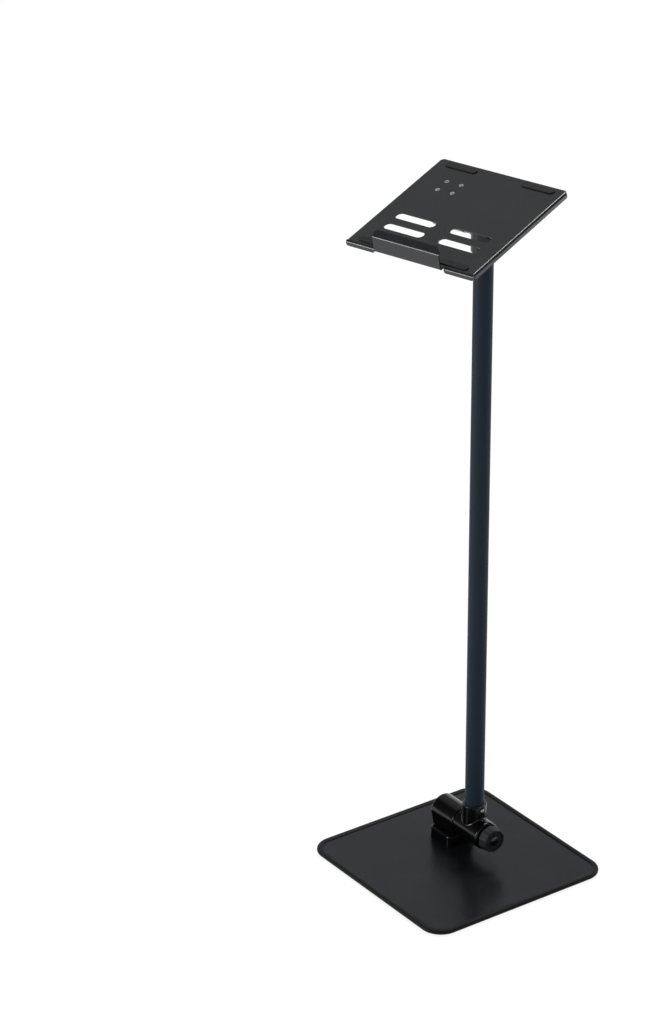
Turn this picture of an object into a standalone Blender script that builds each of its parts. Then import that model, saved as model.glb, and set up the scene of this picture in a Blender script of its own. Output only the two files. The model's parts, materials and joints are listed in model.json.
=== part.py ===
"""Standing desk for a bike trainer: a tray on a tilting pole over a heavy square base.

Metres, +Z up. The origin is the middle of the base's underside. +X is the rider's right and
+Y points away from the rider. The hinge at the pole's foot and the one under the tray are
the same set of parts: a foot and a housing carry a bolt, and the core turns on that bolt.
"""
import bpy
import bmesh
from math import acos, atan2, cos, pi, radians, sin, sqrt
from mathutils import Vector

# Clearances
GAP = 0.0003                # between pieces that touch
RUNNING_GAP = 0.0003        # round the bolts and between turning faces

# Square base: steel plate in a rubber edge, on a grip mat
BASE_SIDE = 0.355
BASE_CORNER_RADIUS = 0.034
PLATE_THICKNESS = 0.005
MAT_THICKNESS = 0.0015
MAT_INSET = 0.0015          # from the edging's inner lip
EDGE_WIDTH = 0.0090
EDGE_GRIP = 0.0050          # how far the plate reaches into the edging
EDGE_RISE = 0.0020          # edging above the plate's top
EDGE_LIP = 0.0010           # lip's thickness at its inner border

# Where the pole stands on the base, and how tall it is
POLE_X = 0.0
POLE_Y = 0.035
HINGE_SPACING = 1.072       # base hinge axis to tray hinge axis

# Pole: one plain steel tube
POLE_RADIUS = 0.0160
POLE_WALL = 0.0015
PLUG_LENGTH = 0.014
PLUG_LIP = 0.002

# Hinge, in its own frame: X along the bolt, +Z towards the pole
HINGE_HEIGHT = 0.0455       # seat of the foot to the hinge axis
FOOT_LENGTH = 0.054
FOOT_WIDTH = 0.056
FOOT_HEIGHT = 0.020
FOOT_CORNER_RADIUS = 0.007
FOOT_EDGE_RADIUS = 0.0015
FOOT_DRAFT = 0.0008         # the foot is this much wider at its seat
HOUSING_LENGTH = 0.058
HOUSING_RADIUS = 0.0245
HOUSING_BASE_WIDTH = 0.040
HOUSING_EDGE_RADIUS = 0.0022
FRICTION_WASHER_THICKNESS = 0.0010
FRICTION_WASHER_RADIUS = 0.0205
CORE_RADIUS = 0.0240
CORE_REACH_LEFT = 0.0275
CORE_REACH_RIGHT = 0.0355
CORE_EDGE_RADIUS = 0.0030
COLLAR_RADIUS = 0.0205
COLLAR_REACH = 0.048        # hinge axis to the collar's rim
COLLAR_RIM_RADIUS = 0.0012
SADDLE_FILLET = 0.0035
SOCKET_FLOOR = 0.0120       # hinge axis to the bottom of the pole's socket

# Bolt through the hinge and its captive head
BOLT_RADIUS = 0.0040
BOLT_HEAD_ACROSS_FLATS = 0.013
BOLT_HEAD_HEIGHT = 0.0053
BOLT_TIP_INSET = 0.0060     # bolt's end below the knob's outer rim
END_CAP_RADIUS = 0.0125
END_CAP_DEPTH = 0.0035
END_CAP_DOME = 0.0010
PRESSURE_WASHER_THICKNESS = 0.0015
PRESSURE_WASHER_RADIUS = 0.0135

# Knob
KNOB_RADIUS = 0.0200
KNOB_LENGTH = 0.0185
KNOB_LOBES = 10
KNOB_LOBE_DEPTH = 0.0008
KNOB_EDGE_RADIUS = 0.0012
KNOB_RIM_WIDTH = 0.0032
KNOB_RECESS_DEPTH = 0.0022
KNOB_RIB_HEIGHT = 0.0013
KNOB_HUB_RADIUS = 0.0092
KNOB_NECK_RADIUS = 0.0165
KNOB_NECK_LENGTH = 0.0030
NUT_ACROSS_FLATS = 0.013
NUT_THICKNESS = 0.0065
KNOB_CAP_RADIUS = 0.0080
KNOB_CAP_THICKNESS = 0.0016
KNOB_CAP_DOME = 0.0010

# Screw in each collar
COLLAR_SCREW_DROP = 0.0065  # rim to the screw's axis
COLLAR_SCREW_RADIUS = 0.0018
COLLAR_SCREW_HEAD_RADIUS = 0.0030
COLLAR_SCREW_HEAD_HEIGHT = 0.0022
SPOT_FACE_RADIUS = 0.0037
SPOT_FACE_DEPTH = 0.0008
POLE_SCREW_BITE = 0.0040    # how far the base screw reaches past the tube's outside

# Screws that hold a foot on its plate
FOOT_SCREW_SPACING_X = 0.028
FOOT_SCREW_SPACING_Y = 0.024
FOOT_SCREW_STOP = 0.0110    # hinge axis to the screws' tips
BASE_SCREW_RADIUS = 0.0030
BASE_SCREW_HEAD_RADIUS = 0.0060
BASE_SCREW_HEAD_HEIGHT = 0.0033
TRAY_SCREW_RADIUS = 0.0020
TRAY_SCREW_HEAD_RADIUS = 0.0038
TRAY_SCREW_HEAD_HEIGHT = 0.0018

# Tray: one folded sheet, in a frame with its origin on the tray's hinge axis
TRAY_YAW = radians(15.5)
TRAY_TILT = radians(15.3)
TRAY_WIDTH = 0.242
TRAY_FRONT = 0.184          # hinge axis to the face of the front flanges
TRAY_BACK = 0.066           # hinge axis to the face of the rear flange
SHEET = 0.0020
BEND_RADIUS = 0.0030        # to the middle of the sheet
FLANGE_DROP = 0.0090        # tray's top to the flanges' lower edge
FLANGE_CORNER_RADIUS = 0.0035
FRONT_FLANGE_INSET = 0.0010 # its end from the tray's side
TRAY_CORNER_RADIUS = 0.0020
LIP_WIDTH = 0.125
LIP_STEP = 0.0060           # lip's face in front of the flanges' face
LIP_WALL = 0.0215           # straight part of the lip's wall
LIP_LEAN = radians(4.0)
LIP_HOOK = 0.0110           # straight part of the hook above the wall
LIP_HOOK_RISE = radians(48.0)
LIP_CORNER_RADIUS = 0.0090
RELIEF_WIDTH = 0.0035
RELIEF_DEPTH = 0.0040
WINDOW_WIDTH = 0.074
WINDOW_DEPTH = 0.016
WINDOW_PITCH = 0.030
WINDOW_ROWS = 2
WINDOW_FIRST = 0.125        # hinge axis to the middle of the front row
WINDOW_SIDE = 0.052         # middle of the tray to the middle of a window
REST_FRONT = 0.084          # hinge axis to the front of the plain strip behind the windows
REST_BACK = 0.020           # hinge axis to the back of that strip
PAD_LENGTH = 0.060
PAD_WIDTH = 0.012
PAD_THICKNESS = 0.0015
PAD_INSET_X = 0.048         # middle of a pad from the tray's side
PAD_INSET_Y = 0.014         # middle of a pad from the tray's front or back

# Facets
ROUND_STEPS = 36
SMALL_STEPS = 18
SCREW_STEPS = 12
CORNER_STEPS = 4
FILLET_STEPS = 2
BEND_STEPS = 3
SHARP_CORNER = radians(50)  # a steeper edge than this is shaded sharp

# Heights and places that follow from the sizes above
PLATE_BOTTOM = MAT_THICKNESS
PLATE_TOP = PLATE_BOTTOM + PLATE_THICKNESS
BASE_HINGE_Z = PLATE_TOP + HINGE_HEIGHT
TRAY_HINGE_Z = BASE_HINGE_Z + HINGE_SPACING
PLATE_EDGE = EDGE_WIDTH - EDGE_GRIP + GAP
HOUSING_RIGHT = -(CORE_REACH_LEFT + 2 * RUNNING_GAP + FRICTION_WASHER_THICKNESS)
HOUSING_LEFT = HOUSING_RIGHT - HOUSING_LENGTH
FOOT_MIDDLE = (HOUSING_LEFT + HOUSING_RIGHT) / 2
FOOT_TOP = -HINGE_HEIGHT + GAP + FOOT_HEIGHT
END_RECESS = HOUSING_LEFT + END_CAP_DEPTH + BOLT_HEAD_HEIGHT + 2 * GAP
KNOB_START = CORE_REACH_RIGHT + 2 * RUNNING_GAP + PRESSURE_WASHER_THICKNESS
KNOB_END = KNOB_START + KNOB_LENGTH
KNOB_FLOOR = KNOB_END - KNOB_RECESS_DEPTH
KNOB_CAP_SEAT = KNOB_FLOOR - KNOB_CAP_THICKNESS
NUT_SEAT = KNOB_CAP_SEAT - NUT_THICKNESS - 2 * GAP
POLE_BOTTOM = BASE_HINGE_Z + SOCKET_FLOOR + GAP
POLE_TOP = TRAY_HINGE_Z - SOCKET_FLOOR - GAP
SCREW_Z = COLLAR_REACH - COLLAR_SCREW_DROP
SIDE_BEND = TRAY_WIDTH / 2 - BEND_RADIUS - SHEET / 2
FRONT_BEND = TRAY_FRONT - BEND_RADIUS - SHEET / 2
BACK_BEND = TRAY_BACK - BEND_RADIUS - SHEET / 2
TRAY_TOP = HINGE_HEIGHT + SHEET

MATERIALS = {
    "plate_black": ((0.035, 0.038, 0.042), 0.55, 0.3),
    "edge_rubber": ((0.020, 0.020, 0.021), 0.75, 0.0),
    "pole_blue_black": ((0.028, 0.034, 0.045), 0.45, 0.3),
    "hinge_black": ((0.012, 0.012, 0.013), 0.25, 0.0),
    "knob_black": ((0.030, 0.031, 0.033), 0.65, 0.0),
    "tray_black": ((0.030, 0.032, 0.034), 0.50, 0.3),
    "plug_black": ((0.018, 0.018, 0.019), 0.60, 0.0),
    "washer_fibre": ((0.050, 0.048, 0.045), 0.80, 0.0),
    "zinc_steel": ((0.62, 0.63, 0.65), 0.30, 1.0),
    "brass": ((0.62, 0.48, 0.22), 0.35, 1.0),
}


def clear_scene():
    """Start from an empty scene."""
    for item in list(bpy.data.objects):
        bpy.data.objects.remove(item, do_unlink=True)


def new_collection(name):
    """A collection linked to the scene, made once."""
    group = bpy.data.collections.new(name)
    bpy.context.scene.collection.children.link(group)
    return group


def get_material(name):
    """The Principled material of that name."""
    material = bpy.data.materials.get(name)
    if material:
        return material
    color, roughness, metallic = MATERIALS[name]
    material = bpy.data.materials.new(name)
    material.use_nodes = True
    shader = material.node_tree.nodes["Principled BSDF"]
    shader.inputs["Base Color"].default_value = (*color, 1.0)
    shader.inputs["Roughness"].default_value = roughness
    shader.inputs["Metallic"].default_value = metallic
    return material


def add_frame(name, location, rotation=(0, 0, 0)):
    """An empty that carries the pieces of one frame."""
    frame = bpy.data.objects.new(name, None)
    frame.empty_display_size = 0.05
    frame.location = location
    frame.rotation_euler = rotation
    PARTS.objects.link(frame)
    bpy.context.view_layer.update()
    return frame


def place(item, parent, location, rotation=(0, 0, 0)):
    """Put an object in its frame."""
    item.parent = parent
    item.location = location
    item.rotation_euler = rotation


def shade(mesh):
    """Smooth across rounds and fillets, sharp at corners."""
    mesh.shade_smooth()
    mesh.set_sharp_from_angle(angle=SHARP_CORNER)


def add_piece(name, mesh, material, parent=None, location=(0, 0, 0), rotation=(0, 0, 0)):
    """A named sub-part with its own material."""
    mesh.materials.clear()
    mesh.materials.append(get_material(material))
    shade(mesh)
    piece = bpy.data.objects.new(name, mesh)
    PARTS.objects.link(piece)
    place(piece, parent, location, rotation)
    return piece


def add_cutter(name, mesh, parent=None, location=(0, 0, 0), rotation=(0, 0, 0)):
    """A shape that only cuts or joins another."""
    cutter = bpy.data.objects.new(name, mesh)
    cutter.hide_render = True
    cutter.display_type = "WIRE"
    CUTTERS.objects.link(cutter)
    place(cutter, parent, location, rotation)
    return cutter


def combine(piece, other, operation):
    """Add a Boolean modifier that takes the other shape in or away."""
    if operation == "UNION":
        shade(other.data)
    step = piece.modifiers.new(other.name, "BOOLEAN")
    step.operation = operation
    step.solver = "EXACT"
    step.object = other


def mesh_from(name, bm):
    """Close a bmesh into mesh data with its faces pointing out."""
    bmesh.ops.recalc_face_normals(bm, faces=bm.faces)
    mesh = bpy.data.meshes.new(name)
    bm.to_mesh(mesh)
    bm.free()
    return mesh


def turned(name, profile, steps, ring=False):
    """Spin a profile of (radius, height) points about Z. A ring's profile closes on itself."""
    bm = bmesh.new()
    points = [bm.verts.new((radius, 0, height)) for radius, height in profile]
    ends = points[1:] + points[:1] if ring else points[1:]
    edges = [bm.edges.new(pair) for pair in zip(points, ends)]
    bmesh.ops.spin(bm, geom=points + edges, cent=(0, 0, 0), axis=(0, 0, 1),
                   angle=2 * pi, steps=steps, use_merge=True)
    bmesh.ops.remove_doubles(bm, verts=bm.verts, dist=0.000005)
    return mesh_from(name, bm)


def loft(name, loops, ring=False):
    """Skin a row of loops that have the same number of points."""
    bm = bmesh.new()
    rows = [[bm.verts.new(point) for point in loop] for loop in loops]
    count = len(rows[0])
    following = rows[1:] + rows[:1] if ring else rows[1:]
    for low, high in zip(rows, following):
        for i in range(count):
            j = (i + 1) % count
            bm.faces.new((low[i], low[j], high[j], high[i]))
    if not ring:
        bm.faces.new(rows[0])
        bm.faces.new(rows[-1])
    return mesh_from(name, bm)


def arc_points(center, radius, start, end, steps):
    """Points along an arc, both ends included."""
    return [(center[0] + radius * cos(start + (end - start) * i / steps),
             center[1] + radius * sin(start + (end - start) * i / steps))
            for i in range(steps + 1)]


def rounded_rectangle(width, depth, radius, middle=(0, 0), steps=CORNER_STEPS):
    """Outline of a rectangle with round corners, counter-clockwise."""
    outline = []
    for quarter, (sx, sy) in enumerate(((1, 1), (-1, 1), (-1, -1), (1, -1))):
        center = (middle[0] + sx * (width / 2 - radius), middle[1] + sy * (depth / 2 - radius))
        outline += arc_points(center, radius, quarter * pi / 2, (quarter + 1) * pi / 2, steps)
    return outline


def circle(radius, middle=(0, 0), steps=SMALL_STEPS):
    """Outline of a circle or, with few steps, of a regular polygon."""
    return [(middle[0] + radius * cos(2 * pi * i / steps),
             middle[1] + radius * sin(2 * pi * i / steps)) for i in range(steps)]


def flat_mesh(name, outlines, thickness):
    """Fill flat outlines, the first with the others as holes, and give them a thickness.

    The solid lies half above and half below its own plane.
    """
    curve = bpy.data.curves.new(name, "CURVE")
    curve.dimensions = "2D"
    curve.fill_mode = "BOTH" if thickness else "BACK"
    curve.extrude = thickness / 2
    for outline in outlines:
        spline = curve.splines.new("POLY")
        spline.points.add(len(outline) - 1)
        for point, (x, y) in zip(spline.points, outline):
            point.co = (x, y, 0, 1)
        spline.use_cyclic_u = True
    holder = bpy.data.objects.new(name, curve)
    CUTTERS.objects.link(holder)
    bpy.context.view_layer.update()
    evaluated = holder.evaluated_get(bpy.context.evaluated_depsgraph_get())
    mesh = bpy.data.meshes.new_from_object(evaluated)
    bpy.data.objects.remove(holder)
    bm = bmesh.new()
    bm.from_mesh(mesh)
    bpy.data.meshes.remove(mesh)
    bmesh.ops.remove_doubles(bm, verts=bm.verts, dist=0.000005)
    return mesh_from(name, bm)


def washer_profile(inner, outer, bottom, top):
    """Closed profile of a flat ring."""
    return [(outer, top), (outer, bottom), (inner, bottom), (inner, top)]


def hexagon_radius(across_flats):
    """Corner radius of a hexagon."""
    return across_flats / sqrt(3)


# Base

def foot_screw_places():
    """Where the four screws stand under a foot, in the hinge's frame."""
    return [(FOOT_MIDDLE + sx * FOOT_SCREW_SPACING_X / 2, sy * FOOT_SCREW_SPACING_Y / 2)
            for sx in (-1, 1) for sy in (-1, 1)]


def build_base_plate():
    """Heavy steel plate with four countersunk holes under the foot."""
    side = BASE_SIDE - 2 * PLATE_EDGE
    outline = rounded_rectangle(side, side, BASE_CORNER_RADIUS - PLATE_EDGE)
    plate = add_piece("base_plate", flat_mesh("base_plate", [outline], PLATE_THICKNESS),
                      "plate_black", None, (0, 0, (PLATE_BOTTOM + PLATE_TOP) / 2))
    for i, (x, y) in enumerate(foot_screw_places()):
        hole = countersink("plate_hole_%d" % (i + 1), BASE_SCREW_RADIUS, BASE_SCREW_HEAD_RADIUS,
                           BASE_SCREW_HEAD_HEIGHT, 2 * PLATE_THICKNESS)
        cutter = add_cutter(hole.name, hole, None, (POLE_X + x, POLE_Y + y, PLATE_BOTTOM))
        combine(plate, cutter, "DIFFERENCE")


def countersink(name, radius, head_radius, head_height, length):
    """Cutter for a countersunk hole whose head side is down at Z zero."""
    profile = [(0, length), (radius + GAP, length), (radius + GAP, head_height + GAP),
               (head_radius + GAP, GAP), (head_radius + GAP, -0.001), (0, -0.001)]
    return turned(name, profile, SCREW_STEPS)


def build_edge():
    """Rubber edging: a C section, run round the plate's rim."""
    top = PLATE_TOP + EDGE_RISE
    slot_low = PLATE_BOTTOM - GAP
    slot_high = PLATE_TOP + GAP
    bead = top / 2
    outer = [(-bead + bead * cos(a), bead + bead * sin(a))
             for a in (radians(-90 + 180 * i / 8) for i in range(9))]
    section = outer + [(-EDGE_WIDTH * 0.7, top - EDGE_RISE * 0.15),
                       (-EDGE_WIDTH, slot_high + EDGE_LIP), (-EDGE_WIDTH, slot_high),
                       (-EDGE_WIDTH + EDGE_GRIP, slot_high), (-EDGE_WIDTH + EDGE_GRIP, slot_low),
                       (-EDGE_WIDTH, slot_low), (-EDGE_WIDTH, 0)]
    loops = []
    for offset, height in section:
        side = BASE_SIDE + 2 * offset
        outline = rounded_rectangle(side, side, BASE_CORNER_RADIUS + offset)
        loops.append([(x, y, height) for x, y in outline])
    add_piece("base_edge_trim", loft("base_edge_trim", loops, ring=True), "edge_rubber")


def build_mat():
    """Grip mat under the plate, with a hole round each screw head."""
    inset = EDGE_WIDTH + MAT_INSET
    side = BASE_SIDE - 2 * inset
    outlines = [rounded_rectangle(side, side, BASE_CORNER_RADIUS - inset)]
    for x, y in foot_screw_places():
        outlines.append(circle(BASE_SCREW_HEAD_RADIUS + MAT_INSET, (POLE_X + x, POLE_Y + y),
                               SCREW_STEPS))
    thickness = MAT_THICKNESS - GAP
    add_piece("base_mat", flat_mesh("base_mat", outlines, thickness), "edge_rubber",
              None, (0, 0, thickness / 2))


# Hinge pieces, made once for the base and once for the tray

def build_foot(name, frame, screw_radius):
    """Foot block with a ledge round its top and four screw holes."""
    bottom = -HINGE_HEIGHT + GAP
    levels = [(bottom, FOOT_DRAFT)]
    for along, up in arc_points((-FOOT_EDGE_RADIUS, FOOT_TOP - FOOT_EDGE_RADIUS),
                                FOOT_EDGE_RADIUS, 0, pi / 2, 3):
        levels.append((up, along))
    loops = []
    for height, grow in levels:
        outline = rounded_rectangle(FOOT_LENGTH + 2 * grow, FOOT_WIDTH + 2 * grow,
                                    FOOT_CORNER_RADIUS + grow, (FOOT_MIDDLE, 0))
        loops.append([(x, y, height) for x, y in outline])
    foot = add_piece(name, loft(name, loops), "hinge_black", frame)
    for i, (x, y) in enumerate(foot_screw_places()):
        mesh = turned("%s_hole_%d" % (name, i + 1),
                      [(0, FOOT_HEIGHT), (screw_radius + GAP, FOOT_HEIGHT),
                       (screw_radius + GAP, -FOOT_HEIGHT), (0, -FOOT_HEIGHT)], SCREW_STEPS)
        combine(foot, add_cutter(mesh.name, mesh, frame, (x, y, (bottom + FOOT_TOP) / 2)),
                "DIFFERENCE")


def housing_section(inset):
    """The housing's end outline in Y and Z, drawn in by an inset."""
    radius = HOUSING_RADIUS - inset
    base = FOOT_TOP + GAP + inset
    half = HOUSING_BASE_WIDTH / 2 - inset
    outline = arc_points((0, 0), radius, 0, pi, ROUND_STEPS // 2)
    return outline + [(-half, base), (half, base)]


def build_housing(name, frame, screw_radius):
    """Round-topped housing that stands on the foot and holds the bolt's head."""
    levels = [(HOUSING_RIGHT, CORE_EDGE_RADIUS / 4), (HOUSING_RIGHT - CORE_EDGE_RADIUS / 4, 0)]
    for along, inward in arc_points((HOUSING_LEFT + HOUSING_EDGE_RADIUS, 0),
                                    HOUSING_EDGE_RADIUS, pi / 2, pi, 4):
        levels.append((along, HOUSING_EDGE_RADIUS - inward))
    loops = [[(x, y, z) for y, z in housing_section(inset)] for x, inset in levels]
    housing = add_piece(name, loft(name, loops), "hinge_black", frame)
    bore = BOLT_RADIUS + RUNNING_GAP
    profile = [(0, HOUSING_RIGHT + 0.002), (bore, HOUSING_RIGHT + 0.002), (bore, END_RECESS),
               (hexagon_radius(BOLT_HEAD_ACROSS_FLATS) + GAP, END_RECESS),
               (hexagon_radius(BOLT_HEAD_ACROSS_FLATS) + GAP, HOUSING_LEFT + END_CAP_DEPTH + GAP),
               (END_CAP_RADIUS + GAP, HOUSING_LEFT + END_CAP_DEPTH + GAP),
               (END_CAP_RADIUS + GAP, HOUSING_LEFT - 0.002), (0, HOUSING_LEFT - 0.002)]
    cutter = add_cutter(name + "_bore", turned(name + "_bore", profile, SMALL_STEPS),
                        frame, (0, 0, 0), (0, pi / 2, 0))
    combine(housing, cutter, "DIFFERENCE")
    top = -FOOT_SCREW_STOP + GAP
    for i, (x, y) in enumerate(foot_screw_places()):
        mesh = turned("%s_hole_%d" % (name, i + 1),
                      [(0, top), (screw_radius + GAP, top), (screw_radius + GAP, -HINGE_HEIGHT),
                       (0, -HINGE_HEIGHT)], SCREW_STEPS)
        combine(housing, add_cutter(mesh.name, mesh, frame, (x, y, 0)), "DIFFERENCE")


def build_end_cap(name, frame):
    """Domed cap that closes the housing over the bolt's head."""
    outer = HOUSING_LEFT
    inner = HOUSING_LEFT + END_CAP_DEPTH
    profile = [(0, inner), (END_CAP_RADIUS, inner), (END_CAP_RADIUS, outer + END_CAP_DOME),
               (END_CAP_RADIUS - END_CAP_DOME, outer),
               (END_CAP_RADIUS * 0.6, outer - END_CAP_DOME * 0.7), (0, outer - END_CAP_DOME)]
    add_piece(name, turned(name, profile, SMALL_STEPS), "plug_black", frame,
              (0, 0, 0), (0, pi / 2, 0))


def saddle_fillet(name):
    """Ring with the section that a ball leaves when it rolls between collar and barrel."""
    sink = 0.00005
    collar = COLLAR_RADIUS - sink
    barrel = CORE_RADIUS - sink
    ball = SADDLE_FILLET
    deep = 0.0012
    loops = []
    for i in range(ROUND_STEPS):
        angle = 2 * pi * (i + 0.5) / ROUND_STEPS
        across = Vector((cos(angle), sin(angle), 0))
        center = across * (collar + ball)
        center.z = sqrt((barrel + ball) ** 2 - center.y ** 2)
        to_collar = -across
        to_barrel = Vector((0, -center.y, -center.z)).normalized()
        swing = acos(to_collar.dot(to_barrel))
        on_collar = center + to_collar * ball
        on_barrel = center + to_barrel * ball
        loop = [on_collar + to_collar * deep]
        for k in range(FILLET_STEPS + 1):
            part = swing * k / FILLET_STEPS
            mixed = (to_collar * sin(swing - part) + to_barrel * sin(part)) / sin(swing)
            loop.append(center + mixed * ball)
        loop.append(on_barrel + to_barrel * deep)
        inner = across * (collar - deep)
        inner.z = sqrt((barrel - deep) ** 2 - inner.y ** 2) - deep
        loop.append(inner)
        loops.append(loop)
    return loft(name, loops, ring=True)


def build_core(name, frame, screw_depth):
    """T-shaped core: a barrel along the bolt, with the collar that takes the pole."""
    barrel = [(0, CORE_REACH_RIGHT)]
    barrel += arc_points((CORE_RADIUS - CORE_EDGE_RADIUS, CORE_REACH_RIGHT - CORE_EDGE_RADIUS),
                         CORE_EDGE_RADIUS, pi / 2, 0, FILLET_STEPS)
    chamfer = CORE_EDGE_RADIUS / 4
    barrel += [(CORE_RADIUS, -CORE_REACH_LEFT + chamfer), (CORE_RADIUS - chamfer, -CORE_REACH_LEFT),
               (0, -CORE_REACH_LEFT)]
    core = add_piece(name, turned(name, barrel, ROUND_STEPS), "hinge_black", frame,
                     (0, 0, 0), (0, pi / 2, 0))
    rim = COLLAR_RIM_RADIUS
    collar = [(0, COLLAR_REACH)]
    collar += arc_points((COLLAR_RADIUS - rim, COLLAR_REACH - rim), rim, pi / 2, 0, FILLET_STEPS)
    collar += [(COLLAR_RADIUS, CORE_RADIUS / 4), (0, CORE_RADIUS / 4)]
    combine(core, add_cutter(name + "_collar", turned(name + "_collar", collar, ROUND_STEPS), frame),
            "UNION")
    combine(core, add_cutter(name + "_fillet", saddle_fillet(name + "_fillet"), frame), "UNION")
    bore = POLE_RADIUS + GAP
    lead = COLLAR_RIM_RADIUS / 2
    socket = [(0, COLLAR_REACH + 0.001), (bore + lead + 0.001, COLLAR_REACH + 0.001),
              (bore, COLLAR_REACH - lead), (bore, SOCKET_FLOOR), (0, SOCKET_FLOOR)]
    combine(core, add_cutter(name + "_socket", turned(name + "_socket", socket, ROUND_STEPS), frame),
            "DIFFERENCE")
    radius = BOLT_RADIUS + RUNNING_GAP
    hole = [(0, KNOB_END), (radius, KNOB_END), (radius, -KNOB_END), (0, -KNOB_END)]
    combine(core, add_cutter(name + "_bolt_hole", turned(name + "_bolt_hole", hole, SMALL_STEPS),
                             frame, (0, 0, 0), (0, pi / 2, 0)), "DIFFERENCE")
    face = COLLAR_RADIUS - SPOT_FACE_DEPTH
    tap = COLLAR_SCREW_RADIUS + GAP
    spot = [(0, COLLAR_RADIUS + 0.002), (SPOT_FACE_RADIUS, COLLAR_RADIUS + 0.002),
            (SPOT_FACE_RADIUS, face), (tap, face), (tap, screw_depth), (0, screw_depth)]
    combine(core, add_cutter(name + "_spot_face", turned(name + "_spot_face", spot, SCREW_STEPS),
                             frame, (0, 0, SCREW_Z), (0, pi / 2, 0)), "DIFFERENCE")


def build_collar_screw(name, frame, tip):
    """Bright pan-head screw in the collar's side. The tip is measured from the pole's axis."""
    seat = COLLAR_RADIUS - SPOT_FACE_DEPTH + GAP
    top = seat + COLLAR_SCREW_HEAD_HEIGHT
    profile = [(0, top), (COLLAR_SCREW_HEAD_RADIUS * 0.65, top - COLLAR_SCREW_HEAD_HEIGHT * 0.12),
               (COLLAR_SCREW_HEAD_RADIUS, top - COLLAR_SCREW_HEAD_HEIGHT * 0.55),
               (COLLAR_SCREW_HEAD_RADIUS, seat), (COLLAR_SCREW_RADIUS, seat),
               (COLLAR_SCREW_RADIUS, tip), (0, tip)]
    add_piece(name, turned(name, profile, SCREW_STEPS), "zinc_steel", frame,
              (0, 0, SCREW_Z), (0, pi / 2, 0))


def build_friction_washer(name, frame):
    """Fibre washer between the housing and the turning core."""
    right = -CORE_REACH_LEFT - RUNNING_GAP
    profile = washer_profile(BOLT_RADIUS + RUNNING_GAP, FRICTION_WASHER_RADIUS,
                             right - FRICTION_WASHER_THICKNESS, right)
    add_piece(name, turned(name, profile, SMALL_STEPS, ring=True), "washer_fibre", frame,
              (0, 0, 0), (0, pi / 2, 0))


def build_pressure_washer(name, frame):
    """Steel washer that the knob presses on the core."""
    left = CORE_REACH_RIGHT + RUNNING_GAP
    profile = washer_profile(BOLT_RADIUS + RUNNING_GAP, PRESSURE_WASHER_RADIUS,
                             left, left + PRESSURE_WASHER_THICKNESS)
    add_piece(name, turned(name, profile, SMALL_STEPS, ring=True), "zinc_steel", frame,
              (0, 0, 0), (0, pi / 2, 0))


def build_bolt(name, frame):
    """Hexagon bolt along the hinge axis, held in the housing."""
    head_low = END_RECESS - GAP - BOLT_HEAD_HEIGHT
    tip = KNOB_END - BOLT_TIP_INSET
    chamfer = BOLT_RADIUS / 5
    shank = [(0, tip), (BOLT_RADIUS - chamfer, tip), (BOLT_RADIUS, tip - chamfer),
             (BOLT_RADIUS, head_low + BOLT_HEAD_HEIGHT / 2), (0, head_low + BOLT_HEAD_HEIGHT / 2)]
    bolt = add_piece(name, turned(name, shank, SMALL_STEPS), "zinc_steel", frame,
                     (0, 0, 0), (0, pi / 2, 0))
    hexagon = circle(hexagon_radius(BOLT_HEAD_ACROSS_FLATS) - GAP, steps=6)
    head = add_cutter(name + "_head", flat_mesh(name + "_head", [hexagon], BOLT_HEAD_HEIGHT),
                      frame, (head_low + BOLT_HEAD_HEIGHT / 2, 0, 0), (0, pi / 2, 0))
    combine(bolt, head, "UNION")


def knob_loop(radius, height, wave):
    """One lobed ring of the knob. The wave is the depth of its flutes."""
    count = KNOB_LOBES * 4
    loop = []
    for i in range(count):
        angle = 2 * pi * i / count
        reach = radius - wave * (1 - cos(KNOB_LOBES * angle)) / 2
        loop.append((reach * cos(angle), reach * sin(angle), height))
    return loop


def knob_ribs(radius, height):
    """One ring of the knob's dished face, with a radial rib over each lobe."""
    loop = []
    for i, (x, y, z) in enumerate(knob_loop(radius, height, 0)):
        rise = KNOB_RIB_HEIGHT if i % 4 == 0 else 0
        loop.append((x, y, z + rise))
    return loop


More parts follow.
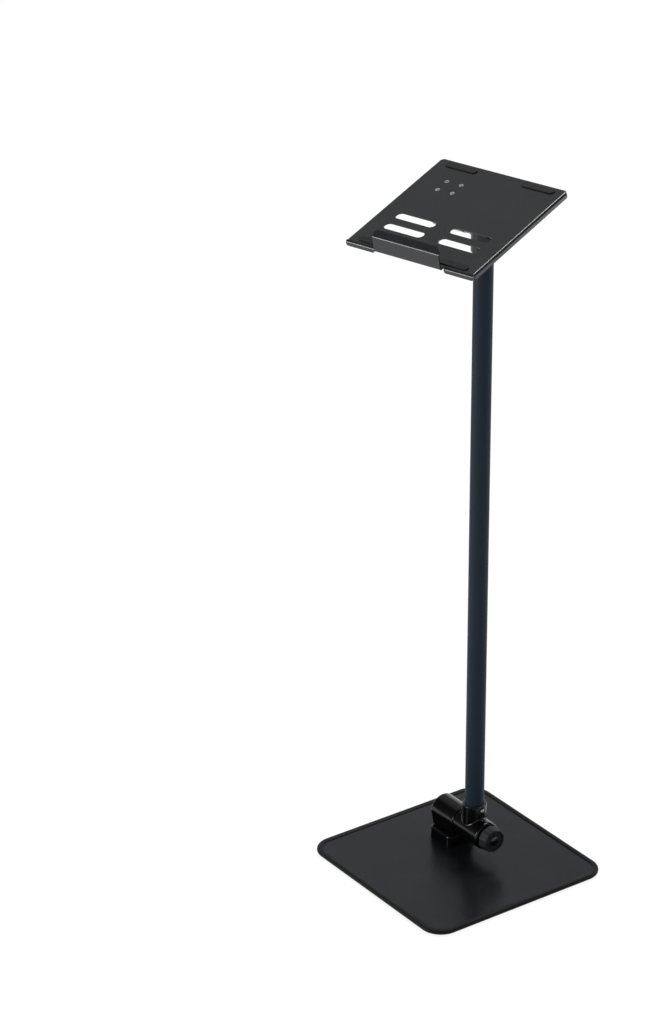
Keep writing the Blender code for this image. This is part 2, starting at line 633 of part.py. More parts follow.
def build_knob(name, frame):
    """Fluted clamp knob with a dished, ribbed face round its hub."""
    edge = KNOB_EDGE_RADIUS
    inner = KNOB_RADIUS - KNOB_RIM_WIDTH
    loops = [knob_loop(KNOB_NECK_RADIUS, KNOB_START, 0),
             knob_loop(KNOB_RADIUS - edge / 2, KNOB_START + KNOB_NECK_LENGTH, KNOB_LOBE_DEPTH / 2),
             knob_loop(KNOB_RADIUS, KNOB_START + KNOB_NECK_LENGTH + edge / 2, KNOB_LOBE_DEPTH)]
    for along, up in arc_points((KNOB_RADIUS - edge, KNOB_END - edge), edge, 0, pi / 2,
                                FILLET_STEPS):
        loops.append(knob_loop(along, up, KNOB_LOBE_DEPTH))
    loops += [knob_loop(inner, KNOB_END, 0), knob_loop(inner - edge / 2, KNOB_FLOOR, 0),
              knob_ribs(inner - edge, KNOB_FLOOR), knob_ribs(KNOB_HUB_RADIUS + edge / 4, KNOB_FLOOR),
              knob_loop(KNOB_HUB_RADIUS, KNOB_FLOOR + KNOB_RIB_HEIGHT, 0)]
    knob = add_piece(name, loft(name, loops), "knob_black", frame, (0, 0, 0), (0, pi / 2, 0))
    bore = BOLT_RADIUS + RUNNING_GAP
    top = KNOB_END + 0.001
    cap = KNOB_CAP_RADIUS + GAP
    hole = [(0, top), (cap, top), (cap, KNOB_CAP_SEAT), (bore, KNOB_CAP_SEAT),
            (bore, KNOB_START - 0.002), (0, KNOB_START - 0.002)]
    combine(knob, add_cutter(name + "_hole", turned(name + "_hole", hole, SMALL_STEPS), frame,
                             (0, 0, 0), (0, pi / 2, 0)), "DIFFERENCE")
    depth = top - NUT_SEAT
    hexagon = circle(hexagon_radius(NUT_ACROSS_FLATS) + GAP, steps=6)
    pocket = add_cutter(name + "_pocket", flat_mesh(name + "_pocket", [hexagon], depth), frame,
                        (NUT_SEAT + depth / 2, 0, 0), (0, pi / 2, 0))
    combine(knob, pocket, "DIFFERENCE")


def build_knob_nut(name, frame):
    """Brass nut held in the knob's hexagon pocket."""
    outlines = [circle(hexagon_radius(NUT_ACROSS_FLATS), steps=6), circle(BOLT_RADIUS + RUNNING_GAP)]
    middle = NUT_SEAT + GAP + NUT_THICKNESS / 2
    add_piece(name, flat_mesh(name, outlines, NUT_THICKNESS), "brass", frame,
              (middle, 0, 0), (0, pi / 2, 0))


def build_knob_cap(name, frame):
    """Domed cap over the knob's hub."""
    low = KNOB_CAP_SEAT + GAP
    high = KNOB_FLOOR + KNOB_RIB_HEIGHT
    profile = [(0, high + KNOB_CAP_DOME), (KNOB_CAP_RADIUS * 0.6, high + KNOB_CAP_DOME * 0.7),
               (KNOB_CAP_RADIUS, high), (KNOB_CAP_RADIUS, low), (0, low)]
    add_piece(name, turned(name, profile, SMALL_STEPS), "plug_black", frame,
              (0, 0, 0), (0, pi / 2, 0))


def build_countersunk_screw(name, frame, place_xy, head_z, toward, sizes, material):
    """Countersunk screw from a plate's outside to its stop below the hinge axis."""
    radius, head_radius, head_height = sizes
    length = abs(head_z) - FOOT_SCREW_STOP
    profile = [(0, length), (radius, length), (radius, head_height), (head_radius, 0), (0, 0)]
    turn = (0, 0, 0) if toward > 0 else (pi, 0, 0)
    add_piece(name, turned(name, profile, SCREW_STEPS), material, frame,
              (place_xy[0], place_xy[1], head_z), turn)


def build_hinge(prefix, fixed, turning, screw_radius, screw_tip, screw_depth):
    """All of one hinge: the fixed frame carries foot, bolt and knob, the other the core."""
    build_foot(prefix + "_foot", fixed, screw_radius)
    build_housing(prefix + "_housing", fixed, screw_radius)
    build_end_cap(prefix + "_end_cap", fixed)
    build_bolt(prefix + "_bolt", fixed)
    build_friction_washer(prefix + "_friction_washer", fixed)
    build_core(prefix + "_core", turning, screw_depth)
    build_collar_screw(prefix + "_collar_screw", turning, screw_tip)
    build_pressure_washer(prefix + "_pressure_washer", fixed)
    build_knob(prefix + "_knob", fixed)
    build_knob_nut(prefix + "_knob_nut", fixed)
    build_knob_cap(prefix + "_knob_cap", fixed)


# Pole

def build_pole():
    """Straight tube from socket to socket, closed by a plug at each end."""
    low = POLE_BOTTOM + PLUG_LIP + GAP - BASE_HINGE_Z
    high = POLE_TOP - PLUG_LIP - GAP - BASE_HINGE_Z
    inner = POLE_RADIUS - POLE_WALL
    tube = add_piece("pole_tube", turned("pole_tube", washer_profile(inner, POLE_RADIUS, low, high),
                                         ROUND_STEPS, ring=True),
                     "pole_blue_black", BASE_TURNING)
    radius = COLLAR_SCREW_RADIUS + GAP
    hole = [(0, POLE_RADIUS * 1.5), (radius, POLE_RADIUS * 1.5), (radius, inner - POLE_WALL),
            (0, inner - POLE_WALL)]
    combine(tube, add_cutter("pole_screw_hole", turned("pole_screw_hole", hole, SCREW_STEPS),
                             BASE_TURNING, (0, 0, SCREW_Z), (0, pi / 2, 0)), "DIFFERENCE")
    build_plug("pole_bottom_plug", POLE_BOTTOM - BASE_HINGE_Z, 1)
    build_plug("pole_top_plug", POLE_TOP - BASE_HINGE_Z, -1)


def build_plug(name, end, inward):
    """Plastic plug: a lip over the tube's end and a cup that fills it."""
    stem = POLE_RADIUS - POLE_WALL - GAP
    cup = stem * 0.72
    profile = [(0, PLUG_LIP), (cup, PLUG_LIP), (cup, PLUG_LENGTH), (stem, PLUG_LENGTH),
               (stem, PLUG_LIP), (POLE_RADIUS, PLUG_LIP), (POLE_RADIUS, 0), (0, 0)]
    turn = (0, 0, 0) if inward > 0 else (pi, 0, 0)
    add_piece(name, turned(name, profile, ROUND_STEPS), "plug_black", BASE_TURNING,
              (0, 0, end), turn)


# Tray

def follow_folds(distance, folds):
    """Walk a distance along a folded strip: each fold has a start, a radius and an angle.

    Returns how far out and how far up the walk ends. A positive angle folds up.
    """
    out, up, heading, walked = 0.0, 0.0, 0.0, 0.0
    for start, radius, angle in folds:
        straight = min(distance, start) - walked
        if straight > 0:
            out += straight * cos(heading)
            up += straight * sin(heading)
            walked += straight
        arc = min(distance - start, radius * abs(angle))
        if arc <= 0:
            return out, up
        side = 1 if angle > 0 else -1
        turned_by = arc / radius
        out += radius * side * (sin(heading + side * turned_by) - sin(heading))
        up += radius * side * (cos(heading) - cos(heading + side * turned_by))
        heading += side * turned_by
        walked += arc
    rest = distance - walked
    return out + rest * cos(heading), up + rest * sin(heading)


def flange_folds():
    """The flanges fold straight down at the bend line."""
    return [(0, BEND_RADIUS, -pi / 2)]


def lip_folds():
    """The lip folds up into a wall and then back into a hook."""
    wall_turn = pi / 2 + LIP_LEAN
    hook_turn = pi - wall_turn - LIP_HOOK_RISE
    hook_start = LIP_STEP + BEND_RADIUS * wall_turn + LIP_WALL
    return [(LIP_STEP, BEND_RADIUS, wall_turn), (hook_start, BEND_RADIUS, hook_turn)]


def flange_length():
    """Developed length of a flange from its bend line."""
    return BEND_RADIUS * pi / 2 + FLANGE_DROP - SHEET / 2 - BEND_RADIUS


def lip_length():
    """Developed length of the lip from the front bend line."""
    start, radius, angle = lip_folds()[1]
    return start + radius * angle + LIP_HOOK


def tab(start, end, length, corner):
    """Points of a tab that stands on the right of the way from start to end."""
    way = Vector((end[0] - start[0], end[1] - start[1])).normalized()
    out = Vector((way.y, -way.x))
    first = Vector(start)
    last = Vector(end)
    points = [first]
    angle = atan2(out.y, out.x)
    low = first + out * (length - corner) + way * corner
    high = last + out * (length - corner) - way * corner
    points += [Vector(p) for p in arc_points(low, corner, angle - pi / 2, angle, CORNER_STEPS)]
    points += [Vector(p) for p in arc_points(high, corner, angle, angle + pi / 2, CORNER_STEPS)]
    points.append(last)
    return [(point.x, point.y) for point in points]


def tray_outline():
    """Flat blank of the tray, counter-clockwise: flanges, lip, reliefs and round corners."""
    corner = TRAY_CORNER_RADIUS
    length = flange_length()
    half_lip = LIP_WIDTH / 2
    relief = RELIEF_WIDTH / 2
    lip_side = half_lip + RELIEF_WIDTH
    flange_end = TRAY_WIDTH / 2 - FRONT_FLANGE_INSET
    outline = tab((-flange_end, -FRONT_BEND), (-lip_side, -FRONT_BEND), length,
                  FLANGE_CORNER_RADIUS)
    outline += relief_points(-half_lip - relief)
    outline += tab((-half_lip, -FRONT_BEND), (half_lip, -FRONT_BEND), lip_length(),
                   LIP_CORNER_RADIUS)
    outline += relief_points(half_lip + relief)
    outline += tab((lip_side, -FRONT_BEND), (flange_end, -FRONT_BEND), length,
                   FLANGE_CORNER_RADIUS)
    outline.append((SIDE_BEND, -FRONT_BEND))
    outline += tab((SIDE_BEND, -FRONT_BEND + corner), (SIDE_BEND, BACK_BEND - corner), length,
                   FLANGE_CORNER_RADIUS)
    outline += arc_points((SIDE_BEND - corner, BACK_BEND - corner), corner, 0, pi / 2, 3)[1:-1]
    outline += tab((SIDE_BEND - corner, BACK_BEND), (-SIDE_BEND + corner, BACK_BEND), length,
                   FLANGE_CORNER_RADIUS)
    outline += arc_points((-SIDE_BEND + corner, BACK_BEND - corner), corner, pi / 2, pi, 3)[1:-1]
    outline += tab((-SIDE_BEND, BACK_BEND - corner), (-SIDE_BEND, -FRONT_BEND + corner), length,
                   FLANGE_CORNER_RADIUS)
    outline.append((-SIDE_BEND, -FRONT_BEND))
    return outline


def relief_points(middle):
    """Round inner end of a relief slot beside the lip."""
    radius = RELIEF_WIDTH / 2
    center = (middle, -FRONT_BEND + RELIEF_DEPTH - radius)
    return arc_points(center, radius, pi, 0, 4)


def tray_windows():
    """Rows of vent slots in front of the hinge, left and right."""
    windows = []
    for row in range(WINDOW_ROWS):
        middle = -WINDOW_FIRST + row * WINDOW_PITCH
        for side in (-1, 1):
            windows.append(rounded_rectangle(WINDOW_WIDTH, WINDOW_DEPTH, WINDOW_DEPTH / 2 - 0.0001,
                                             (side * WINDOW_SIDE, middle), 4))
    return windows


def build_tray(frame):
    """Cut the blank, score it along the bends, fold it and give it the sheet's thickness."""
    flat = flat_mesh("tray_panel", [tray_outline()] + tray_windows(), 0)
    bm = bmesh.new()
    bm.from_mesh(flat)
    bpy.data.meshes.remove(flat)
    arc = BEND_RADIUS * pi / 2
    for i in range(BEND_STEPS + 1):
        step = arc * i / BEND_STEPS
        for normal, reach in (((1, 0), SIDE_BEND), ((-1, 0), SIDE_BEND),
                              ((0, 1), BACK_BEND), ((0, -1), FRONT_BEND)):
            score(bm, normal, reach + step)
    for start, radius, angle in lip_folds():
        for i in range(BEND_STEPS + 1):
            score(bm, (0, -1), FRONT_BEND + start + radius * angle * i / BEND_STEPS)
    join_strips(bm)
    for vert in bm.verts:
        vert.co = fold_point(vert.co)
    mesh = mesh_from("tray_panel", bm)
    tray = add_piece("tray_panel", mesh, "tray_black", frame, (0, 0, HINGE_HEIGHT + SHEET / 2))
    thicken = tray.modifiers.new("sheet", "SOLIDIFY")
    thicken.thickness = SHEET
    thicken.offset = 0
    thicken.use_even_offset = True
    for i, (x, y) in enumerate(foot_screw_places()):
        mesh = countersink("tray_hole_%d" % (i + 1), TRAY_SCREW_RADIUS, TRAY_SCREW_HEAD_RADIUS,
                           TRAY_SCREW_HEAD_HEIGHT, 2 * SHEET)
        cutter = add_cutter(mesh.name, mesh, frame, (x, -y, TRAY_TOP), (pi, 0, 0))
        combine(tray, cutter, "DIFFERENCE")


def score(bm, normal, reach):
    """Cut the flat blank along one line."""
    geometry = bm.verts[:] + bm.edges[:] + bm.faces[:]
    bmesh.ops.bisect_plane(bm, geom=geometry, dist=0.000001,
                           plane_co=(normal[0] * reach, normal[1] * reach, 0),
                           plane_no=(normal[0], normal[1], 0))


def join_strips(bm):
    """Score the flat sheet across its windows and make each strip between scores one face."""
    lines = [WINDOW_FIRST - row * WINDOW_PITCH for row in range(WINDOW_ROWS)]
    lines = [FRONT_BEND] + lines + [REST_FRONT, REST_BACK, -BACK_BEND]
    for line in lines[1:-1]:
        score(bm, (0, -1), line)
    for front, back in zip(lines, lines[1:]):
        strip = []
        for face in bm.faces:
            middle = face.calc_center_median()
            if back < -middle.y < front and abs(middle.x) < SIDE_BEND:
                strip.append(face)
        bmesh.ops.dissolve_faces(bm, faces=strip)


def fold_point(point):
    """Where a point of the flat blank lies once the tray is folded."""
    x, y, z = point
    if y < -FRONT_BEND:
        on_lip = abs(x) < LIP_WIDTH / 2 + RELIEF_WIDTH / 2
        out, up = follow_folds(-FRONT_BEND - y, lip_folds() if on_lip else flange_folds())
        return (x, -FRONT_BEND - out, up)
    if y > BACK_BEND:
        out, up = follow_folds(y - BACK_BEND, flange_folds())
        return (x, BACK_BEND + out, up)
    if abs(x) > SIDE_BEND:
        side = 1 if x > 0 else -1
        out, up = follow_folds(abs(x) - SIDE_BEND, flange_folds())
        return (side * (SIDE_BEND + out), y, up)
    return (x, y, z)


def build_tray_pads(frame):
    """Four grip pads that keep a laptop off the sheet."""
    across = TRAY_WIDTH / 2 - PAD_INSET_X
    places = [("front_left", -across, -TRAY_FRONT + PAD_INSET_Y),
              ("front_right", across, -TRAY_FRONT + PAD_INSET_Y),
              ("rear_left", -across, TRAY_BACK - PAD_INSET_Y),
              ("rear_right", across, TRAY_BACK - PAD_INSET_Y)]
    outline = rounded_rectangle(PAD_LENGTH, PAD_WIDTH, PAD_WIDTH / 2 - 0.0001)
    for side, x, y in places:
        name = "tray_pad_" + side
        add_piece(name, flat_mesh(name, [outline], PAD_THICKNESS), "edge_rubber", frame,
                  (x, y, TRAY_TOP + GAP + PAD_THICKNESS / 2))


def weight_normals():
    """Let each large flat face keep its own normal where a round or a fold meets it."""
    for piece in PARTS.objects:
        if piece.type == "MESH":
            step = piece.modifiers.new("weighted_normals", "WEIGHTED_NORMAL")
            step.keep_sharp = True


clear_scene()
PARTS = new_collection("bike_trainer_desk")
CUTTERS = new_collection("cutters")

BASE_FIXED = add_frame("base_hinge_fixed", (POLE_X, POLE_Y, BASE_HINGE_Z))
BASE_TURNING = add_frame("base_hinge_turning", (POLE_X, POLE_Y, BASE_HINGE_Z))
TRAY_TURNING = add_frame("tray_hinge_turning", (POLE_X, POLE_Y, TRAY_HINGE_Z), (pi, 0, TRAY_YAW))
TRAY_FIXED = add_frame("tray_hinge_fixed", (POLE_X, POLE_Y, TRAY_HINGE_Z),
                       (pi + TRAY_TILT, 0, TRAY_YAW))
TRAY_FRAME = add_frame("tray_frame", (POLE_X, POLE_Y, TRAY_HINGE_Z), (TRAY_TILT, 0, TRAY_YAW))

build_base_plate()
build_edge()
build_mat()
build_pole()
build_hinge("base", BASE_FIXED, BASE_TURNING, BASE_SCREW_RADIUS,
            POLE_RADIUS - POLE_SCREW_BITE, POLE_RADIUS - POLE_WALL)
build_hinge("head", TRAY_FIXED, TRAY_TURNING, TRAY_SCREW_RADIUS,
            POLE_RADIUS + GAP, POLE_RADIUS - POLE_WALL)
for number, spot in enumerate(foot_screw_places()):
    build_countersunk_screw("base_foot_screw_%d" % (number + 1), BASE_FIXED, spot,
                            -HINGE_HEIGHT - PLATE_THICKNESS, 1,
                            (BASE_SCREW_RADIUS, BASE_SCREW_HEAD_RADIUS, BASE_SCREW_HEAD_HEIGHT),
                            "zinc_steel")
    build_countersunk_screw("tray_screw_%d" % (number + 1), TRAY_FIXED, spot,
                            -HINGE_HEIGHT - SHEET, 1,
                            (TRAY_SCREW_RADIUS, TRAY_SCREW_HEAD_RADIUS, TRAY_SCREW_HEAD_HEIGHT),
                            "zinc_steel")
build_tray(TRAY_FRAME)
build_tray_pads(TRAY_FRAME)
weight_normals()
bpy.context.view_layer.update()
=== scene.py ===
import json
from math import acos, atan2, cos, pi, radians, sin, sqrt
import bpy
import bmesh
from mathutils import Euler, Matrix, Vector


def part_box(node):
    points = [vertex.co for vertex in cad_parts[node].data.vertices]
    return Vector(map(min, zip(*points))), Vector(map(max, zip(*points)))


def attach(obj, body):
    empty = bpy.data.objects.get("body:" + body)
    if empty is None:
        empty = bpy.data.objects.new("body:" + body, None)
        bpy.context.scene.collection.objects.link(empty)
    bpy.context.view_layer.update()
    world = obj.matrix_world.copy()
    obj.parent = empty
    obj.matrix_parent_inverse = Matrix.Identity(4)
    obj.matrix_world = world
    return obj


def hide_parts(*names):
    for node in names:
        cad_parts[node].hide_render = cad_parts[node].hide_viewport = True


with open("model.json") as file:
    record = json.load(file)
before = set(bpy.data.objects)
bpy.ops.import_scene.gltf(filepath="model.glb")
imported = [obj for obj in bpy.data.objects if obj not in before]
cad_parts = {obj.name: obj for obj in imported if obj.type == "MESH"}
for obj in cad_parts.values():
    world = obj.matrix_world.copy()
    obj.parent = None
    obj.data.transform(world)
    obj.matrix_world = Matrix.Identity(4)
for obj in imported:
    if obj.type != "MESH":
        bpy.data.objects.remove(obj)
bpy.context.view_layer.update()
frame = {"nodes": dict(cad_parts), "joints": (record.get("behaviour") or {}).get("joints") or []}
joints = {joint["name"]: joint for joint in frame["joints"]}
print("frame loaded,", len(frame["nodes"]), "nodes")


# shader node groups, each built once and shared by the materials

def addNode(tree, kind, settings=None, **values):
    node = tree.nodes.new(kind)
    for key, value in (settings or {}).items():
        setattr(node, key, value)
    for key, value in values.items():
        socket = node.inputs[int(key[1:])] if key[0] == "_" else node.inputs[key.replace("_", " ")]
        if isinstance(value, bpy.types.NodeSocket):
            tree.links.new(value, socket)
        else:
            socket.default_value = value
    return node


def addMath(tree, operation, one, other, clamp=False):
    node = addNode(tree, "ShaderNodeMath", {"operation": operation, "use_clamp": clamp},
                   _0=one, _1=other)
    return node.outputs[0]


def newGroup(name, inputs, outputs):
    tree = bpy.data.node_groups.new(name, "ShaderNodeTree")
    for label, value in inputs.items():
        kind = "NodeSocketVector" if label == "Position" else "NodeSocketFloat"
        socket = tree.interface.new_socket(label, in_out="INPUT", socket_type=kind)
        if kind == "NodeSocketFloat":
            socket.default_value = value
    for label in outputs:
        tree.interface.new_socket(label, in_out="OUTPUT", socket_type="NodeSocketFloat")
    return tree, tree.nodes.new("NodeGroupInput").outputs, tree.nodes.new("NodeGroupOutput").inputs


def buildGrain():
    # pebbled surface of a powder coat or a moulded skin: fine grains on a slower swell
    tree, given, result = newGroup("surfaceGrain",
                                   {"Position": None, "Scale": 900.0, "Swell": 0.35},
                                   ["Height", "Pits"])
    cells = addNode(tree, "ShaderNodeTexVoronoi", {"feature": "SMOOTH_F1"},
                    Vector=given["Position"], Scale=given["Scale"], Smoothness=0.6)
    slowScale = addMath(tree, "MULTIPLY", given["Scale"], 0.22)
    slow = addNode(tree, "ShaderNodeTexNoise", None, Vector=given["Position"], Scale=slowScale,
                   Detail=2.0)
    swell = addMath(tree, "MULTIPLY", slow.outputs[0], given["Swell"])
    total = addMath(tree, "ADD", cells.outputs["Distance"], swell)
    pits = addNode(tree, "ShaderNodeMapRange", None, Value=cells.outputs["Distance"],
                   From_Min=0.15, From_Max=0.65)
    tree.links.new(total, result["Height"])
    tree.links.new(pits.outputs[0], result["Pits"])
    return tree


def buildHandling():
    # soft cloudy patches where a surface was touched and wiped
    tree, given, result = newGroup("handlingMarks", {"Position": None, "Scale": 9.0}, ["Marks"])
    clouds = addNode(tree, "ShaderNodeTexNoise", None, Vector=given["Position"],
                     Scale=given["Scale"], Detail=5.0, Roughness=0.62, Distortion=0.4)
    marks = addNode(tree, "ShaderNodeMapRange", {"interpolation_type": "SMOOTHSTEP"},
                    Value=clouds.outputs[0], From_Min=0.42, From_Max=0.68)
    tree.links.new(marks.outputs[0], result["Marks"])
    return tree


def buildDust():
    # specks and a thin film on whatever faces up
    tree, given, result = newGroup("settledDust", {"Position": None, "Amount": 0.1}, ["Dust"])
    normal = addNode(tree, "ShaderNodeNewGeometry")
    parts = addNode(tree, "ShaderNodeSeparateXYZ", None, Vector=normal.outputs["Normal"])
    upward = addNode(tree, "ShaderNodeMapRange", None, Value=parts.outputs["Z"],
                     From_Min=0.55, From_Max=0.98)
    specks = addNode(tree, "ShaderNodeTexNoise", None, Vector=given["Position"], Scale=420.0,
                     Detail=3.0, Roughness=0.7)
    film = addNode(tree, "ShaderNodeMapRange", None, Value=specks.outputs[0],
                   From_Min=0.45, From_Max=0.75)
    both = addMath(tree, "MULTIPLY", upward.outputs[0], film.outputs[0])
    tree.links.new(addMath(tree, "MULTIPLY", both, given["Amount"], True), result["Dust"])
    return tree


def buildEdgeRub():
    # outward edges, where a coat is thinner and handled more
    tree, given, result = newGroup("rubbedEdges", {"Position": None, "Amount": 0.3}, ["Edge"])
    shape = addNode(tree, "ShaderNodeNewGeometry")
    sharp = addNode(tree, "ShaderNodeMapRange", None, Value=shape.outputs["Pointiness"],
                    From_Min=0.57, From_Max=0.66)
    broken = addNode(tree, "ShaderNodeTexNoise", None, Vector=given["Position"], Scale=160.0,
                     Detail=4.0)
    patchy = addNode(tree, "ShaderNodeMapRange", None, Value=broken.outputs[0],
                     From_Min=0.3, From_Max=0.7)
    both = addMath(tree, "MULTIPLY", sharp.outputs[0], patchy.outputs[0])
    tree.links.new(addMath(tree, "MULTIPLY", both, given["Amount"], True), result["Edge"])
    return tree


def buildRings():
    # fine turned lines round an axis, as a lathe or a wire brush leaves them
    tree, given, result = newGroup("turnedLines", {"Position": None, "Scale": 1500.0}, ["Lines"])
    stretched = addNode(tree, "ShaderNodeVectorMath", {"operation": "MULTIPLY"},
                        _0=given["Position"], _1=(0.04, 0.04, 1.0))
    lines = addNode(tree, "ShaderNodeTexNoise", None, Vector=stretched.outputs[0],
                    Scale=given["Scale"], Detail=2.0)
    tree.links.new(lines.outputs[0], result["Lines"])
    return tree


groups = {"grain": buildGrain(), "handling": buildHandling(), "dust": buildDust(),
          "edges": buildEdgeRub(), "lines": buildRings()}
print("shader groups built:", len(groups))


# finishes: colours are linear, grain sizes in metres are 1 / grainScale

finishes = {
    "plateCoat": {
        "color": (0.0040, 0.0048, 0.0056), "edge": (0.020, 0.021, 0.023), "roughness": 0.23,
        "spread": 0.02, "grainScale": 1300.0, "grainHeight": 0.00005, "swell": 0.5,
        "specular": 0.50, "tint": (0.74, 0.87, 1.0), "dust": 0.015, "rub": 0.25},
    "trayCoat": {
        "color": (0.0140, 0.0155, 0.0170), "edge": (0.060, 0.062, 0.065), "roughness": 0.24,
        "spread": 0.04, "grainScale": 1500.0, "grainHeight": 0.00005, "swell": 0.5,
        "specular": 0.45, "dust": 0.03, "rub": 0.0},
    "poleCoat": {
        "color": (0.0100, 0.0190, 0.0310), "edge": (0.03, 0.035, 0.04), "roughness": 0.50,
        "spread": 0.08, "grainScale": 1700.0, "grainHeight": 0.00004, "swell": 0.6,
        "specular": 0.10, "dust": 0.0, "rub": 0.2},
    "hingePlastic": {
        "color": (0.0008, 0.0008, 0.0010), "edge": (0.012, 0.012, 0.013), "roughness": 0.20,
        "spread": 0.05, "grainScale": 2600.0, "grainHeight": 0.000012, "swell": 0.8,
        "specular": 0.38, "dust": 0.01, "rub": 0.2},
    # the collar's top face: satin, in a lighter, bluer colour than the black core, which is painted
    # light falling on this upward face
    "collarTopPaintedLight": {
        "color": (0.017, 0.020, 0.025), "edge": (0.05, 0.052, 0.056), "roughness": 0.50,
        "spread": 0.10, "grainScale": 2400.0, "grainHeight": 0.00003, "swell": 0.5,
        "specular": 0.3, "dust": 0.02, "rub": 0.2},
    "capPlastic": {
        "color": (0.0020, 0.0021, 0.0024), "edge": (0.02, 0.02, 0.021), "roughness": 0.22,
        "spread": 0.06, "grainScale": 2400.0, "grainHeight": 0.000015, "swell": 0.5,
        "specular": 0.5, "dust": 0.02, "rub": 0.2},
    "knobRubber": {
        "color": (0.0092, 0.0103, 0.0118), "edge": (0.03, 0.03, 0.031), "roughness": 0.60,
        "spread": 0.10, "grainScale": 2200.0, "grainHeight": 0.00004, "swell": 0.4,
        "specular": 0.25, "dust": 0.02, "rub": 0.25},
    "edgingRubber": {
        "color": (0.0095, 0.0100, 0.0105), "edge": (0.03, 0.03, 0.031), "roughness": 0.50,
        "spread": 0.12, "grainScale": 1500.0, "grainHeight": 0.00005, "swell": 0.5,
        "specular": 0.08, "dust": 0.03, "rub": 0.2},
    "padRubber": {
        "color": (0.0100, 0.0100, 0.0105), "edge": (0.03, 0.03, 0.031), "roughness": 0.72,
        "spread": 0.12, "grainScale": 1100.0, "grainHeight": 0.00008, "swell": 0.3,
        "specular": 0.3, "dust": 0.05, "rub": 0.1},
    "washerFibre": {
        "color": (0.060, 0.055, 0.048), "edge": (0.09, 0.085, 0.075), "roughness": 0.80,
        "spread": 0.10, "grainScale": 900.0, "grainHeight": 0.00008, "swell": 0.8,
        "specular": 0.2, "dust": 0.0, "rub": 0.1},
}


def placeGroup(tree, group, coordinates, **values):
    node = tree.nodes.new("ShaderNodeGroup")
    node.node_tree = group
    tree.links.new(coordinates, node.inputs["Position"])
    for key, value in values.items():
        node.inputs[key].default_value = value
    return node.outputs


def coatedMaterial(name):
    values = finishes[name]
    material = bpy.data.materials.new(name)
    material.use_nodes = True
    tree = material.node_tree
    shader = tree.nodes["Principled BSDF"]
    shader.inputs["Specular IOR Level"].default_value = values["specular"]
    shader.inputs["Specular Tint"].default_value = (*values.get("tint", (1.0, 1.0, 1.0)), 1)
    where = tree.nodes.new("ShaderNodeTexCoord").outputs["Object"]
    grain = placeGroup(tree, groups["grain"], where, Scale=values["grainScale"],
                       Swell=values["swell"])
    marks = placeGroup(tree, groups["handling"], where)
    dust = placeGroup(tree, groups["dust"], where, Amount=values["dust"])
    edges = placeGroup(tree, groups["edges"], where, Amount=values["rub"])
    darker = [0.80 * c for c in values["color"]] + [1]
    pitted = addNode(tree, "ShaderNodeMix", {"data_type": "RGBA"}, _0=grain["Pits"],
                     _6=(*values["color"], 1), _7=darker)
    rubbed = addNode(tree, "ShaderNodeMix", {"data_type": "RGBA"}, _0=edges["Edge"],
                     _6=pitted.outputs[2], _7=(*values["edge"], 1))
    dusty = addNode(tree, "ShaderNodeMix", {"data_type": "RGBA"}, _0=dust["Dust"],
                    _6=rubbed.outputs[2], _7=(0.22, 0.21, 0.20, 1))
    tree.links.new(dusty.outputs[2], shader.inputs["Base Color"])
    rough = addNode(tree, "ShaderNodeMapRange", None, Value=marks["Marks"],
                    To_Min=values["roughness"] - values["spread"] / 2,
                    To_Max=values["roughness"] + values["spread"] / 2)
    tree.links.new(rough.outputs[0], shader.inputs["Roughness"])
    bump = addNode(tree, "ShaderNodeBump", None, Height=grain["Height"], Strength=0.6,
                   Distance=values["grainHeight"])
    tree.links.new(bump.outputs[0], shader.inputs["Normal"])
    return material


metals = {
    "zincSteel": {"color": (0.62, 0.63, 0.65), "tint": (0.50, 0.52, 0.57), "roughness": 0.26},
    "turnedBrass": {"color": (0.62, 0.46, 0.20), "tint": (0.50, 0.35, 0.14), "roughness": 0.30},
}


def metalMaterial(name):
    values = metals[name]
    material = bpy.data.materials.new(name)
    material.use_nodes = True
    tree = material.node_tree
    shader = tree.nodes["Principled BSDF"]
    shader.inputs["Metallic"].default_value = 1.0
    where = tree.nodes.new("ShaderNodeTexCoord").outputs["Object"]
    lines = placeGroup(tree, groups["lines"], where)
    marks = placeGroup(tree, groups["handling"], where, Scale=160.0)
    tinted = addNode(tree, "ShaderNodeMix", {"data_type": "RGBA"}, _0=marks["Marks"],
                     _6=(*values["color"], 1), _7=(*values["tint"], 1))
    tree.links.new(tinted.outputs[2], shader.inputs["Base Color"])
    rough = addNode(tree, "ShaderNodeMapRange", None, Value=lines["Lines"],
                    From_Min=0.3, From_Max=0.7, To_Min=values["roughness"] - 0.06,
                    To_Max=values["roughness"] + 0.10)
    tree.links.new(rough.outputs[0], shader.inputs["Roughness"])
    bump = addNode(tree, "ShaderNodeBump", None, Height=lines["Lines"], Strength=0.3,
                   Distance=0.00002)
    tree.links.new(bump.outputs[0], shader.inputs["Normal"])
    return material


materials = {name: coatedMaterial(name) for name in finishes}
materials.update({name: metalMaterial(name) for name in metals})
print("materials built:", len(materials))


# mesh helpers, all in metres

def closeMesh(name, bm):
    bmesh.ops.remove_doubles(bm, verts=bm.verts, dist=0.000002)
    bmesh.ops.recalc_face_normals(bm, faces=bm.faces)
    mesh = bpy.data.meshes.new(name)
    bm.to_mesh(mesh)
    bm.free()
    return mesh


def spinProfile(name, profile, steps=96, ring=False):
    # profile of (radius, height) pairs, turned about Z
    bm = bmesh.new()
    points = [bm.verts.new((radius, 0, height)) for radius, height in profile]
    following = points[1:] + points[:1] if ring else points[1:]
    edges = [bm.edges.new(pair) for pair in zip(points, following)]
    bmesh.ops.spin(bm, geom=points + edges, cent=(0, 0, 0), axis=(0, 0, 1), angle=2 * pi,
                   steps=steps, use_merge=True)
    return closeMesh(name, bm)


